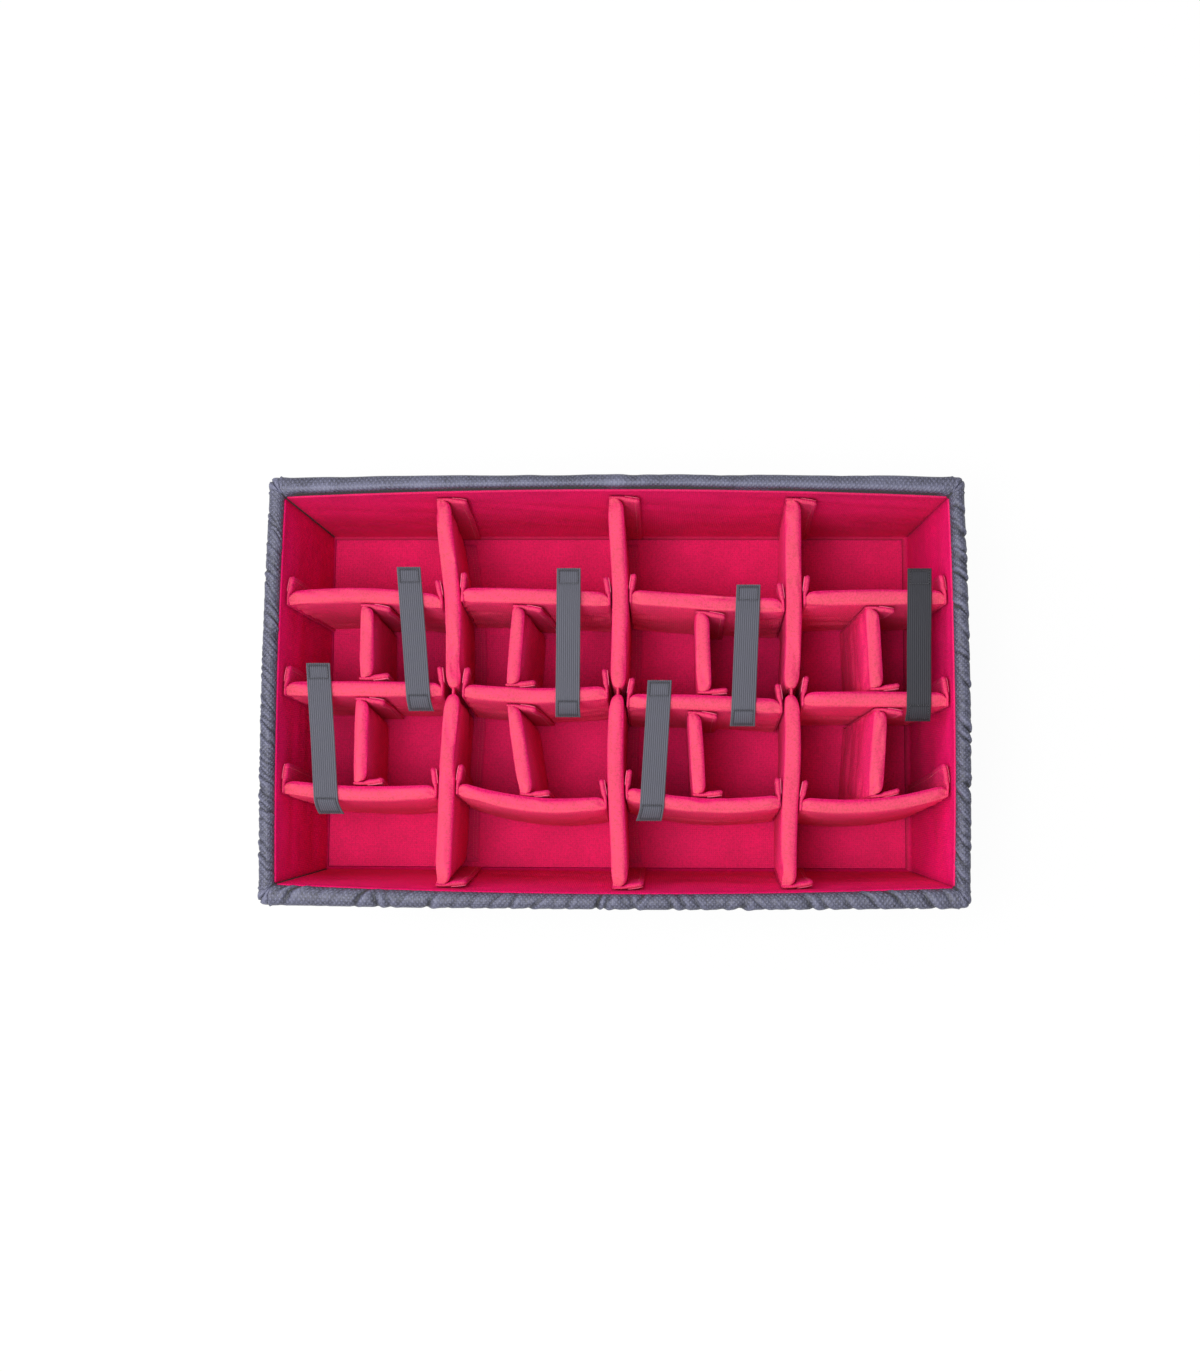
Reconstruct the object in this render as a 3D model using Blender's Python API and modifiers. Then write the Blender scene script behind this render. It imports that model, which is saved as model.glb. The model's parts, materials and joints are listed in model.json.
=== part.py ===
"""Padded case divider: a soft open tray with removable padded dividers and elastic straps.

Metres, +Z up, +X to the right along the tray, +Y to the rear. The origin lies on the
surface that the tray stands on, under the middle of its rim.
"""

import math

import bmesh
import bpy
from mathutils import Vector

# Tray, outside
RIM_LENGTH = 0.7180
RIM_DEPTH = 0.4320
TRAY_HEIGHT = 0.2080
LONG_WALL_BOW = 0.0075
SHORT_WALL_BOW = 0.0030
CORNER_RADIUS = 0.0200
SEAM_RADIUS = 0.0040

# Floor of the tray, between the linings; it lies behind the middle of the rim
FLOOR_LENGTH = 0.6370
FLOOR_DEPTH = 0.3700
FLOOR_SETBACK = 0.0120

# Layers of the walls and of the base
COVER_THICKNESS = 0.0012
LINING_THICKNESS = 0.0014
WALL_FOAM_THICKNESS = 0.0120
BOARD_THICKNESS = 0.0025
BASE_FOAM_THICKNESS = 0.0060

# Rolled rim
RIM_PUFF = 0.0012
RIM_CROWN = 0.0080
RIM_LIP_DEPTH = 0.0055

# Padded dividers
PAD_HEIGHT = 0.1765
LONG_PAD_THICKNESS = 0.0160
CROSS_PAD_THICKNESS = 0.0150
SMALL_PAD_THICKNESS = 0.0145
TAB_THICKNESS = 0.0030
TAB_REACH = 0.0175
TAB_ROOT = 0.0012
HINGE_WEB_THICKNESS = 0.0032
HINGE_WEB_LENGTH = 0.0075
FLAP_THICKNESS = 0.0017
FLAP_WIDTH = 0.0145
FLAP_END_MARGIN = 0.0080

# Elastic straps
STRAP_WIDTH = 0.0250
STRAP_THICKNESS = 0.0016
STRAP_FRONT_OVERHANG = 0.0145
STRAP_DOUBLED_LENGTH = 0.0270
STRAP_SAG = 0.0022
STRAP_DROOP = 0.0035
STRAP_STEP_LENGTH = 0.0006

# Clearances
FIT_GAP = 0.0003
LAYER_GAP = 0.0005
CORNER_SEAM_GAP = 0.0010
SLIDE_GAP = 0.0008

# Mesh counts
LONG_SIDE_STEPS = 10
SHORT_SIDE_STEPS = 6
CORNER_STEPS = 3
RIM_ARC_STEPS = 6
WALL_HEIGHT_STEPS = 5
TAB_STEPS = 3
FLAP_STEPS = 12

# Section of a pad: shares of its half height, shares by which its corners are rounded
SECTION_HEIGHT_SHARES = (-1.0, -0.985, -0.90, 0.0, 0.90, 0.985, 1.0)
CROWN_SHARE = 0.08
CORNER_POWER = 24
CORNER_ROOT = 3
TAB_HEIGHT_SHARE = 0.97
WEB_HEIGHT_SHARE = 0.98

# Where the floor flap starts beside the rounded foot of its pad, in half thicknesses
FLAP_TUCK_SHARE = 0.80

# Rings along a pad: shares of its length, of its thickness and of its height
END_RING_SHARES = ((0.0, 0.62, 0.975), (0.04, 0.92, 0.995))
FAR_END_RING_SHARES = ((0.96, 0.92, 0.995), (1.0, 0.62, 0.975))
PINCH_RING_SHARES = ((0.91, 0.97, 1.0), (0.97, 0.72, 0.995), (1.0, 0.26, 0.985))
CROSS_MIDDLE_SHARES = (0.15, 0.29, 0.43, 0.57, 0.71, 0.85)
SMALL_MIDDLE_SHARES = (0.25, 0.5, 0.75)
LONG_MIDDLE_SHARES = (0.09, 0.2, 0.32, 0.44, 0.56, 0.68, 0.8)

# Places of the long dividers, as shares of half the floor's length, and the wave of
# each from front to rear, as shares of its own thickness
LONG_PLACE_SHARES = (-0.534, 0.011, 0.574)
LONG_WAVE_SHARES = (
    (-0.28, -0.13, -0.05, 0.20, 0.18, -0.09, -0.62),
    (0.16, -0.02, -0.15, 0.00, 0.11, 0.08, -0.18),
    (-0.28, -0.21, 0.06, -0.03, 0.16, 0.11, 0.12),
)

# Places of the cross dividers by row from the rear and by column from the left, as
# shares of half the floor's depth; their bow and skew are shares of their thickness
CROSS_PLACE_SHARES = (
    (0.510, 0.528, 0.508, 0.526),
    (0.008, -0.004, -0.072, -0.046),
    (-0.552, -0.584, -0.591, -0.588),
)
CROSS_BOW_SHARES = (
    (0.40, 0.09, -0.08, 0.07),
    (0.04, -0.29, 0.10, 0.05),
    (-0.32, -0.65, -0.57, -0.60),
)
CROSS_SKEW_SHARES = (
    (-0.12, -0.17, -0.33, 0.04),
    (-0.02, -0.06, -0.20, 0.00),
    (-0.14, -0.50, -0.27, 0.47),
)

# Places of the small dividers, rear pair of rows first, as shares of half the floor's
# length; skew and lean are shares of their thickness
SMALL_PLACE_SHARES = (
    (-0.803, -0.303, 0.287, 0.816),
    (-0.821, -0.290, 0.266, 0.818),
)
SMALL_SKEW_SHARES = (
    (0.00, 0.21, -0.10, -0.12),
    (0.01, -0.51, -0.19, 0.21),
)
SMALL_LEAN_SHARES = (
    (-0.13, -0.45, 0.00, 0.53),
    (0.00, -0.35, 0.00, 0.70),
)

# Straps: row under the rear end, column, place and skew as shares of half the floor's
# length, and how far the rear end passes its divider, as a share of the strap's width
STRAP_ROWS_COLUMNS = ((0, 0), (0, 1), (0, 2), (0, 3), (1, 0), (1, 2))
STRAP_PLACE_SHARES = (-0.652, -0.150, 0.424, 0.982, -0.943, 0.134)
STRAP_SKEW_SHARES = (-0.0215, 0.0, 0.010, 0.0045, -0.0200, 0.0130)
STRAP_REAR_REACH_SHARES = (0.96, 0.89, 0.49, 0.86, 0.73, 0.54)
STRAP_END_RING_SHARES = (0.0, 0.25, 0.5, 1.0)
STRAP_BAND_RING_SHARES = (0.25, 0.5, 0.75, 1.0)

# Derived sizes
FOAM_INSET = COVER_THICKNESS + LAYER_GAP
WALL_THICKNESS = FOAM_INSET + WALL_FOAM_THICKNESS + LAYER_GAP + LINING_THICKNESS
BOARD_BOTTOM = COVER_THICKNESS + FIT_GAP
BASE_FOAM_BOTTOM = BOARD_BOTTOM + BOARD_THICKNESS + FIT_GAP
FLOOR_LINING_BOTTOM = BASE_FOAM_BOTTOM + BASE_FOAM_THICKNESS + FIT_GAP
FLOOR_TOP = FLOOR_LINING_BOTTOM + LINING_THICKNESS
RIM_SHOULDER = TRAY_HEIGHT - RIM_CROWN
LIP_BOTTOM = RIM_SHOULDER - RIM_LIP_DEPTH
LINING_TOP = LIP_BOTTOM - FIT_GAP
PAD_FLOOR = FLOOR_TOP + FIT_GAP
PAD_TOP = PAD_FLOOR + PAD_HEIGHT
FLAP_TOP = PAD_FLOOR + FLAP_THICKNESS
CROSS_PAD_BASE_ON_FLAP = FLAP_TOP + FIT_GAP
DOUBLED_THICKNESS = STRAP_THICKNESS + STRAP_THICKNESS
HALF_SHARE = 0.5

# Colours as linear red, green, blue and alpha, with a roughness
LOOKS = {
    "grey nylon": ((0.115, 0.125, 0.165, 1.0), 0.62),
    "red loop lining": ((0.600, 0.006, 0.085, 1.0), 0.90),
    "coral loop fabric": ((0.860, 0.075, 0.150, 1.0), 0.88),
    "grey elastic": ((0.130, 0.140, 0.160, 1.0), 0.70),
    "black foam": ((0.030, 0.030, 0.032, 1.0), 0.95),
    "base board": ((0.060, 0.060, 0.065, 1.0), 0.55),
}


def clear_scene():
    """Remove every object of the scene that the script starts in."""
    for found in list(bpy.data.objects):
        bpy.data.objects.remove(found)


def new_collection(name):
    """Add a collection under the scene's own."""
    made = bpy.data.collections.new(name)
    bpy.context.scene.collection.children.link(made)
    return made


def give_look(piece, look):
    """Give the object a material of its own in one of the named looks."""
    colour, roughness = LOOKS[look]
    material = bpy.data.materials.new(f"{piece.name} {look}")
    material.use_nodes = True
    shader = material.node_tree.nodes["Principled BSDF"]
    shader.inputs["Base Color"].default_value = colour
    shader.inputs["Roughness"].default_value = roughness
    shader.inputs["Metallic"].default_value = 0.0
    material.diffuse_color = colour
    piece.data.materials.append(material)


def blend(start, end, share):
    """Value at a share of the way from start to end."""
    return start + (end - start) * share


def even_shares(steps):
    """Shares from 0 to 1 in even steps."""
    return tuple(step / steps for step in range(steps + 1))


def smooth_value(values, share):
    """Smooth curve through evenly spread values, read at a share of its length."""
    spans = len(values) - 1
    position = min(max(share, 0.0), 1.0) * spans
    span = min(int(position), spans - 1)
    local = position - span
    before = values[max(span - 1, 0)]
    start = values[span]
    end = values[span + 1]
    after = values[min(span + 2, spans)]
    start_slope = (end - before) * HALF_SHARE
    end_slope = (after - start) * HALF_SHARE
    square = local * local
    cube = square * local
    return (
        start * (2 * cube - 3 * square + 1)
        + start_slope * (cube - 2 * square + local)
        + end * (3 * square - 2 * cube)
        + end_slope * (cube - square)
    )


# Shape of the tray: every layer of its walls lies at an inset from these outer faces

def rise_share(height):
    """Share of the splayed wall that lies below a height; the rim stands straight."""
    return min(height / RIM_SHOULDER, 1.0)


def half_length(height):
    """Half the outer length of the tray at a height, at its corners."""
    base = FLOOR_LENGTH / 2 + WALL_THICKNESS
    return blend(base, RIM_LENGTH / 2, rise_share(height))


def rear_depth(height):
    """Distance from the origin to the outer face of the rear wall at its corners."""
    base = FLOOR_DEPTH / 2 + FLOOR_SETBACK + WALL_THICKNESS
    return blend(base, RIM_DEPTH / 2, rise_share(height))


def front_depth(height):
    """Distance from the origin to the outer face of the front wall at its corners."""
    base = FLOOR_DEPTH / 2 - FLOOR_SETBACK + WALL_THICKNESS
    return blend(base, RIM_DEPTH / 2, rise_share(height))


def long_wall_bow(x, height):
    """How far the front or rear wall bows out at x, more towards the rim."""
    share = x / (half_length(height) - CORNER_RADIUS)
    return LONG_WALL_BOW * rise_share(height) * max(1 - share * share, 0.0)


def short_wall_bow(y, height):
    """How far the left or right wall bows out at y, more towards the rim."""
    middle = (rear_depth(height) - front_depth(height)) / 2
    reach = (rear_depth(height) + front_depth(height)) / 2 - CORNER_RADIUS
    share = (y - middle) / reach
    return SHORT_WALL_BOW * rise_share(height) * max(1 - share * share, 0.0)


def rear_face(x, height, inset):
    """Y of the rear wall at an inset from its outer face."""
    return rear_depth(height) + long_wall_bow(x, height) - inset


def front_face(x, height, inset):
    """Y of the front wall at an inset from its outer face."""
    return inset - front_depth(height) - long_wall_bow(x, height)


def right_face(y, height, inset):
    """X of the right wall at an inset from its outer face."""
    return half_length(height) + short_wall_bow(y, height) - inset


def left_face(y, height, inset):
    """X of the left wall at an inset from its outer face."""
    return -right_face(y, height, inset)


def tray_outline(height, inset):
    """Points of the tray's plan at a height and an inset, anticlockwise from the right."""
    radius = max(CORNER_RADIUS - inset, SEAM_RADIUS)
    right = half_length(height) - inset - radius
    rear = rear_depth(height) - inset - radius
    front = inset + radius - front_depth(height)
    points = []

    def corner(centre_x, centre_y, quarter):
        for step in range(CORNER_STEPS + 1):
            angle = math.pi / 2 * (quarter + step / CORNER_STEPS)
            points.append((centre_x + radius * math.cos(angle), centre_y + radius * math.sin(angle)))

    for share in even_shares(SHORT_SIDE_STEPS)[1:-1]:
        y = blend(front, rear, share)
        points.append((right_face(y, height, inset), y))
    corner(right, rear, 0)
    for share in even_shares(LONG_SIDE_STEPS)[1:-1]:
        x = blend(right, -right, share)
        points.append((x, rear_face(x, height, inset)))
    corner(-right, rear, 1)
    for share in even_shares(SHORT_SIDE_STEPS)[1:-1]:
        y = blend(rear, front, share)
        points.append((left_face(y, height, inset), y))
    corner(-right, front, 2)
    for share in even_shares(LONG_SIDE_STEPS)[1:-1]:
        x = blend(-right, right, share)
        points.append((x, front_face(x, height, inset)))
    corner(right, front, 3)
    return points


# Bodies: a unit cylinder is cut into rings, and each vertex is set in its place

def shaped_tube(name, rings, sides, place, closed=True):
    """Mesh of a unit cylinder whose vertices go to place(ring, side)."""
    shape = bmesh.new()
    bmesh.ops.create_cone(
        shape, cap_ends=closed, segments=sides, radius1=1, radius2=1, depth=1
    )
    lengthwise = [edge for edge in shape.edges if edge.verts[0].co.z != edge.verts[1].co.z]
    if rings > 2:
        bmesh.ops.subdivide_edges(shape, edges=lengthwise, cuts=rings - 2, use_grid_fill=True)
    for vert in shape.verts:
        ring = round((vert.co.z + HALF_SHARE) * (rings - 1))
        side = round(math.atan2(-vert.co.x, vert.co.y) / math.tau * sides) % sides
        vert.co = place(ring, side)
    if closed and shape.calc_volume(signed=True) < 0:
        bmesh.ops.reverse_faces(shape, faces=shape.faces)
    mesh = bpy.data.meshes.new(name)
    shape.to_mesh(mesh)
    shape.free()
    return mesh


def add_piece(name, mesh, pivot, collection, look=None):
    """Link a mesh made in world places as an object whose origin is its pivot."""
    for vert in mesh.vertices:
        vert.co = vert.co - pivot
    piece = bpy.data.objects.new(name, mesh)
    piece.location = pivot
    collection.objects.link(piece)
    if look:
        give_look(piece, look)
    return piece


def swept_piece(name, stations, section, place, pivot, collection, look=None):
    """Sweep a closed section: place(station, across, up) sets each of its points."""

    def vertex(ring, side):
        across, up = section[side]
        return Vector(place(stations[ring], across, up))

    mesh = shaped_tube(name, len(stations), len(section), vertex)
    return add_piece(name, mesh, pivot, collection, look)


BOX_SECTION = ((0.0, 0.0), (1.0, 0.0), (1.0, 1.0), (0.0, 1.0))


def pad_section():
    """Rounded section of a pad as shares of its half thickness and half height."""

    def half_width(height_share):
        rounding = (1 - abs(height_share) ** CORNER_POWER) ** (1 / CORNER_ROOT)
        return (1 - CROWN_SHARE * height_share * height_share) * rounding

    rising = [(half_width(share), share) for share in SECTION_HEIGHT_SHARES]
    falling = [(-half_width(share), share) for share in SECTION_HEIGHT_SHARES[-2:0:-1]]
    return tuple(rising + falling)


def joined(piece, parts):
    """Join sewn-on parts to a piece with Boolean unions."""
    for part in parts:
        union = piece.modifiers.new(f"join {part.name}", "BOOLEAN")
        union.operation = "UNION"
        union.solver = "EXACT"
        union.object = part
    return piece


def as_cutter(piece):
    """Mark an object as a guide that isn't a piece of the product."""
    piece.hide_render = True
    piece.display_type = "WIRE"
    return piece


# Tray

def flat_plate(name, inset, bottom, thickness, look, collection):
    """Plate in the plan of the tray, as a filled outline with a thickness."""
    outline = bpy.data.curves.new(name, "CURVE")
    outline.dimensions = "2D"
    outline.fill_mode = "BOTH"
    outline.extrude = thickness / 2
    spline = outline.splines.new("POLY")
    points = tray_outline(bottom, inset)
    spline.points.add(len(points) - 1)
    for point, (x, y) in zip(spline.points, points):
        point.co = (x, y, 0.0, 1.0)
    spline.use_cyclic_u = True
    plate = bpy.data.objects.new(name, outline)
    plate.location = (0.0, 0.0, bottom + thickness / 2)
    collection.objects.link(plate)
    give_look(plate, look)


def wall_heights(bottom, top):
    """Heights at which a layer of a wall has a ring of points."""
    return [blend(bottom, top, share) for share in even_shares(WALL_HEIGHT_STEPS)]


def cover_profile():
    """Height and inset of each ring of the outer cover, from the base over the rim."""
    profile = [(height, 0.0) for height in wall_heights(BOARD_BOTTOM, RIM_SHOULDER)[:-1]]
    width = (WALL_THICKNESS + RIM_PUFF) / 2
    for share in even_shares(RIM_ARC_STEPS):
        angle = math.pi * share
        inset = (WALL_THICKNESS - RIM_PUFF) / 2 - width * math.cos(angle)
        profile.append((RIM_SHOULDER + RIM_CROWN * math.sin(angle), inset))
    profile.append((LIP_BOTTOM, WALL_THICKNESS))
    return profile


def make_outer_cover(collection):
    """Nylon skin of the four walls, rolled over the foam to the seam with the lining."""
    profile = cover_profile()
    rings = [tray_outline(height, inset) for height, inset in profile]

    def vertex(ring, side):
        x, y = rings[ring][side]
        return Vector((x, y, profile[ring][0]))

    mesh = shaped_tube("outer_cover", len(rings), len(rings[0]), vertex, closed=False)
    mesh.shade_smooth()
    cover = add_piece("outer_cover", mesh, Vector(), collection, "grey nylon")
    skin = cover.modifiers.new("fabric thickness", "SOLIDIFY")
    skin.thickness = COVER_THICKNESS
    skin.offset = -1.0
    skin.use_even_offset = True


def foam_section():
    """Inset and height of the points round a wall's foam, with its rounded top."""
    inner = FOAM_INSET + WALL_FOAM_THICKNESS
    middle = (FOAM_INSET + inner) / 2
    crown = RIM_CROWN - COVER_THICKNESS - LAYER_GAP
    heights = wall_heights(BASE_FOAM_BOTTOM, RIM_SHOULDER)[:-1]
    points = [(FOAM_INSET, height) for height in heights]
    for share in even_shares(RIM_ARC_STEPS):
        angle = math.pi * share
        inset = middle - WALL_FOAM_THICKNESS / 2 * math.cos(angle)
        points.append((inset, RIM_SHOULDER + crown * math.sin(angle)))
    points += [(inner, height) for height in reversed(heights)]
    return tuple(points)


def lining_section():
    """Inset and height of the points round a wall's lining."""
    heights = wall_heights(FLOOR_LINING_BOTTOM, LINING_TOP)
    points = [(WALL_THICKNESS - LINING_THICKNESS, height) for height in heights]
    points += [(WALL_THICKNESS, height) for height in reversed(heights)]
    return tuple(points)


def wall_spans():
    """First point and number of steps of each wall on the tray's outline.

    The side walls run round the corners, and the front and rear ones lie between them.
    """
    long_steps = LONG_SIDE_STEPS
    short_steps = SHORT_SIDE_STEPS + 2 * CORNER_STEPS
    walls = (("rear", long_steps), ("left", short_steps), ("front", long_steps), ("right", short_steps))
    start = SHORT_SIDE_STEPS - 1 + CORNER_STEPS
    spans = {}
    for side, steps in walls:
        spans[side] = (start, steps)
        start += steps
    return spans


def wall_layer(name, section, side, look, collection):
    """Layer of one wall, swept along its stretch of the tray's outline."""
    start, steps = wall_spans()[side]
    end_gap = CORNER_SEAM_GAP if side in ("front", "rear") else 0.0
    outlines = {point: tray_outline(point[1], point[0]) for point in section}

    def place(station, inset, height):
        outline = outlines[inset, height]
        x, y = outline[station % len(outline)]
        if station in (start, start + steps):
            x -= math.copysign(end_gap, x)
        return x, y, height

    stations = range(start, start + steps + 1)
    swept_piece(name, stations, section, place, Vector(), collection, look)


def make_tray(collection):
    """Base, foam walls, outer cover and lining of the tray."""
    flat_plate("base_cover", 0.0, 0.0, COVER_THICKNESS, "grey nylon", collection)
    flat_plate("base_board", FOAM_INSET, BOARD_BOTTOM, BOARD_THICKNESS, "base board", collection)
    base_foam_inset = FOAM_INSET + WALL_FOAM_THICKNESS + LAYER_GAP
    flat_plate(
        "base_foam", base_foam_inset, BASE_FOAM_BOTTOM, BASE_FOAM_THICKNESS, "black foam", collection
    )
    flat_plate(
        "floor_lining", WALL_THICKNESS + FIT_GAP, FLOOR_LINING_BOTTOM, LINING_THICKNESS,
        "red loop lining", collection,
    )
    make_outer_cover(collection)
    for side in wall_spans():
        wall_layer(f"{side}_foam", foam_section(), side, "black foam", collection)
        wall_layer(f"{side}_lining", lining_section(), side, "red loop lining", collection)


# Lines that the dividers stand on

def long_line(number, y):
    """X of the middle of a long divider at y."""
    reach = FLOOR_DEPTH / 2
    wave = smooth_value(LONG_WAVE_SHARES[number], (y / reach + 1) / 2)
    return LONG_PLACE_SHARES[number] * FLOOR_LENGTH / 2 + wave * LONG_PAD_THICKNESS


def column_left(column, y, height):
    """X where a column starts at y and a height, on a long divider or on the lining."""
    if column == 0:
        return left_face(y, height, WALL_THICKNESS) + SLIDE_GAP
    return long_line(column - 1, y) + LONG_PAD_THICKNESS / 2 + SLIDE_GAP


def column_right(column, y, height):
    """X where a column ends at y and a height."""
    if column == len(LONG_PLACE_SHARES):
        return right_face(y, height, WALL_THICKNESS) - SLIDE_GAP
    return long_line(column, y) - LONG_PAD_THICKNESS / 2 - SLIDE_GAP


def cross_middle(row, column):
    """Y about which a cross divider bows and skews."""
    return CROSS_PLACE_SHARES[row][column] * FLOOR_DEPTH / 2


def cross_line(row, column, x):
    """Y of the middle of a cross divider at x."""
    y = cross_middle(row, column)
    left = column_left(column, y, PAD_TOP)
    right = column_right(column, y, PAD_TOP)
    share = (x - left) / (right - left) * 2 - 1
    bow = CROSS_BOW_SHARES[row][column] * (1 - share * share)
    skew = CROSS_SKEW_SHARES[row][column] * share
    return y + (bow + skew) * CROSS_PAD_THICKNESS


def pad_base(column):
    """Height of the bottom of a cross divider, which stands on a floor flap beside one."""
    return PAD_FLOOR if column == 0 else CROSS_PAD_BASE_ON_FLAP


# Dividers

def pad_rings(middle_shares, far_end=FAR_END_RING_SHARES):
    """Rings of a pad from end to end, drawn in near its ends."""
    return END_RING_SHARES + tuple((share, 1.0, 1.0) for share in middle_shares) + far_end


def pad_place(path, thickness, base, runs_along_x):
    """Place of a point of a pad's section on its path."""

    def place(ring, across, up):
        share, thickness_share, height_share = ring
        offset = across * thickness_share * thickness / 2
        height = base + PAD_HEIGHT / 2 * (1 + up * height_share)
        x, y = path(share, height)
        if runs_along_x:
            return x, y + offset, height
        return x + offset, y, height

    return place


def tab_heights(base):
    """Bottom and top of a sewn tab."""
    margin = PAD_HEIGHT * (1 - TAB_HEIGHT_SHARE) / 2
    return base + margin, base + PAD_HEIGHT - margin


def make_cross_divider(row, column, collection, guides):
    """Padded panel across a column, with a tab folded to the rear at each end."""
    name = f"cross_divider_r{row + 1}_c{column + 1}"
    base = pad_base(column)
    middle_y = cross_middle(row, column)
    low, high = tab_heights(base)

    def end_y(side):
        """Y of the pad's middle at its left or right end."""
        return middle_y + CROSS_SKEW_SHARES[row][column] * CROSS_PAD_THICKNESS * side

    def path(share, height):
        left = column_left(column, end_y(-1), height) + TAB_THICKNESS - TAB_ROOT
        right = column_right(column, end_y(1), height) - TAB_THICKNESS + TAB_ROOT
        x = blend(left, right, share)
        return x, cross_line(row, column, x)

    def tab_place(edge, inward, start_y):
        def place(share, across, up):
            y = blend(start_y, start_y + CROSS_PAD_THICKNESS + TAB_REACH, share)
            height = blend(low, high, up)
            return edge(column, y, height) + inward * across * TAB_THICKNESS, y, height

        return place

    pivot = Vector((path(HALF_SHARE, base)[0], middle_y, base))
    pad = swept_piece(
        name, pad_rings(CROSS_MIDDLE_SHARES), pad_section(),
        pad_place(path, CROSS_PAD_THICKNESS, base, True), pivot, collection, "coral loop fabric",
    )
    tabs = []
    for end, edge, side in (("left", column_left, -1), ("right", column_right, 1)):
        start_y = end_y(side) - CROSS_PAD_THICKNESS / 2
        tab = swept_piece(
            f"{name}_{end}_tab", even_shares(TAB_STEPS), BOX_SECTION,
            tab_place(edge, -side, start_y), pivot, guides,
        )
        tabs.append(as_cutter(tab))
    joined(pad, tabs)


def make_small_divider(pair, column, collection, guides):
    """Short padded panel between two cross dividers, with tabs folded to the right."""
    place_name = ("rear", "front")[pair]
    name = f"small_divider_{place_name}_{column + 1}"
    base = PAD_FLOOR
    low, high = tab_heights(base)
    middle_x = SMALL_PLACE_SHARES[pair][column] * FLOOR_LENGTH / 2
    face = CROSS_PAD_THICKNESS / 2 + SLIDE_GAP

    def front_edge(x):
        return cross_line(pair + 1, column, x) + face

    def rear_edge(x):
        return cross_line(pair, column, x) - face

    def lean(height):
        share = (height - base) / PAD_HEIGHT * 2 - 1
        return SMALL_LEAN_SHARES[pair][column] * SMALL_PAD_THICKNESS * share

    def path(share, height):
        skew = SMALL_SKEW_SHARES[pair][column] * SMALL_PAD_THICKNESS * (2 * share - 1)
        x = middle_x + skew + lean(height)
        front = front_edge(x) + TAB_THICKNESS - TAB_ROOT
        rear = rear_edge(x) - TAB_THICKNESS + TAB_ROOT
        return x, blend(front, rear, share)

    def tab_place(edge, inward, start_x):
        def place(share, across, up):
            height = blend(low, high, up)
            x = blend(start_x, start_x + SMALL_PAD_THICKNESS + TAB_REACH, share) + lean(height)
            return x, edge(x) + inward * across * TAB_THICKNESS, height

        return place

    pivot = Vector((middle_x, (front_edge(middle_x) + rear_edge(middle_x)) / 2, base))
    pad = swept_piece(
        name, pad_rings(SMALL_MIDDLE_SHARES), pad_section(),
        pad_place(path, SMALL_PAD_THICKNESS, base, False), pivot, collection, "coral loop fabric",
    )
    tabs = []
    for end, edge, inward, share in (("front", front_edge, 1, 0), ("rear", rear_edge, -1, 1)):
        skew = SMALL_SKEW_SHARES[pair][column] * SMALL_PAD_THICKNESS * (2 * share - 1)
        start_x = middle_x + skew - SMALL_PAD_THICKNESS / 2
        tab = swept_piece(
            f"{name}_{end}_tab", even_shares(TAB_STEPS), BOX_SECTION,
            tab_place(edge, inward, start_x), pivot, guides,
        )
        tabs.append(as_cutter(tab))
    joined(pad, tabs)


def make_long_divider(number, collection, guides):
    """Two padded halves from wall to wall, joined by a sewn web, with a floor flap."""
    name = f"long_divider_{number + 1}"
    base = PAD_FLOOR
    low, high = tab_heights(base)
    half_web = HINGE_WEB_LENGTH / 2
    pivot = Vector((long_line(number, 0.0), 0.0, base))
    walls = {"rear": (rear_face, 1), "front": (front_face, -1)}
    for half_name, (face, outward) in walls.items():

        def wall_edge(x, height):
            return face(x, height, WALL_THICKNESS) - outward * SLIDE_GAP

        def path(share, height):
            end_x = long_line(number, outward * FLOOR_DEPTH / 2)
            end = wall_edge(end_x, height) - outward * (TAB_THICKNESS - TAB_ROOT)
            y = blend(end, outward * (half_web + FIT_GAP), share)
            return long_line(number, y), y

        start_x = path(0.0, high)[0] - LONG_PAD_THICKNESS / 2

        def tab_place(share, across, up):
            height = blend(low, high, up)
            x = blend(start_x, start_x + LONG_PAD_THICKNESS + TAB_REACH, share)
            return x, wall_edge(x, height) - outward * across * TAB_THICKNESS, height

        pad = swept_piece(
            f"{name}_{half_name}_pad", pad_rings(LONG_MIDDLE_SHARES, PINCH_RING_SHARES),
            pad_section(), pad_place(path, LONG_PAD_THICKNESS, base, False), pivot, collection,
            "coral loop fabric",
        )
        tab = swept_piece(
            f"{name}_{half_name}_tab", even_shares(TAB_STEPS), BOX_SECTION, tab_place, pivot, guides
        )
        joined(pad, [as_cutter(tab)])

    web_margin = PAD_HEIGHT * (1 - WEB_HEIGHT_SHARE) / 2

    def web_place(share, across, up):
        y = blend(-half_web, half_web, share)
        x = long_line(number, y) + (across - HALF_SHARE) * HINGE_WEB_THICKNESS
        return x, y, blend(base + web_margin, base + PAD_HEIGHT - web_margin, up)

    swept_piece(
        f"{name}_hinge_web", even_shares(2), BOX_SECTION, web_place, pivot, collection,
        "coral loop fabric",
    )

    def flap_place(share, across, up):
        front = front_face(pivot.x, base, WALL_THICKNESS) + FLAP_END_MARGIN
        rear = rear_face(pivot.x, base, WALL_THICKNESS) - FLAP_END_MARGIN
        y = blend(front, rear, share)
        inner = long_line(number, y) + (LONG_PAD_THICKNESS / 2) * FLAP_TUCK_SHARE
        return inner + across * FLAP_WIDTH, y, base + up * FLAP_THICKNESS

    swept_piece(
        f"{name}_floor_flap", even_shares(FLAP_STEPS), BOX_SECTION, flap_place, pivot,
        collection, "red loop lining",
    )


# Straps

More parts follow.
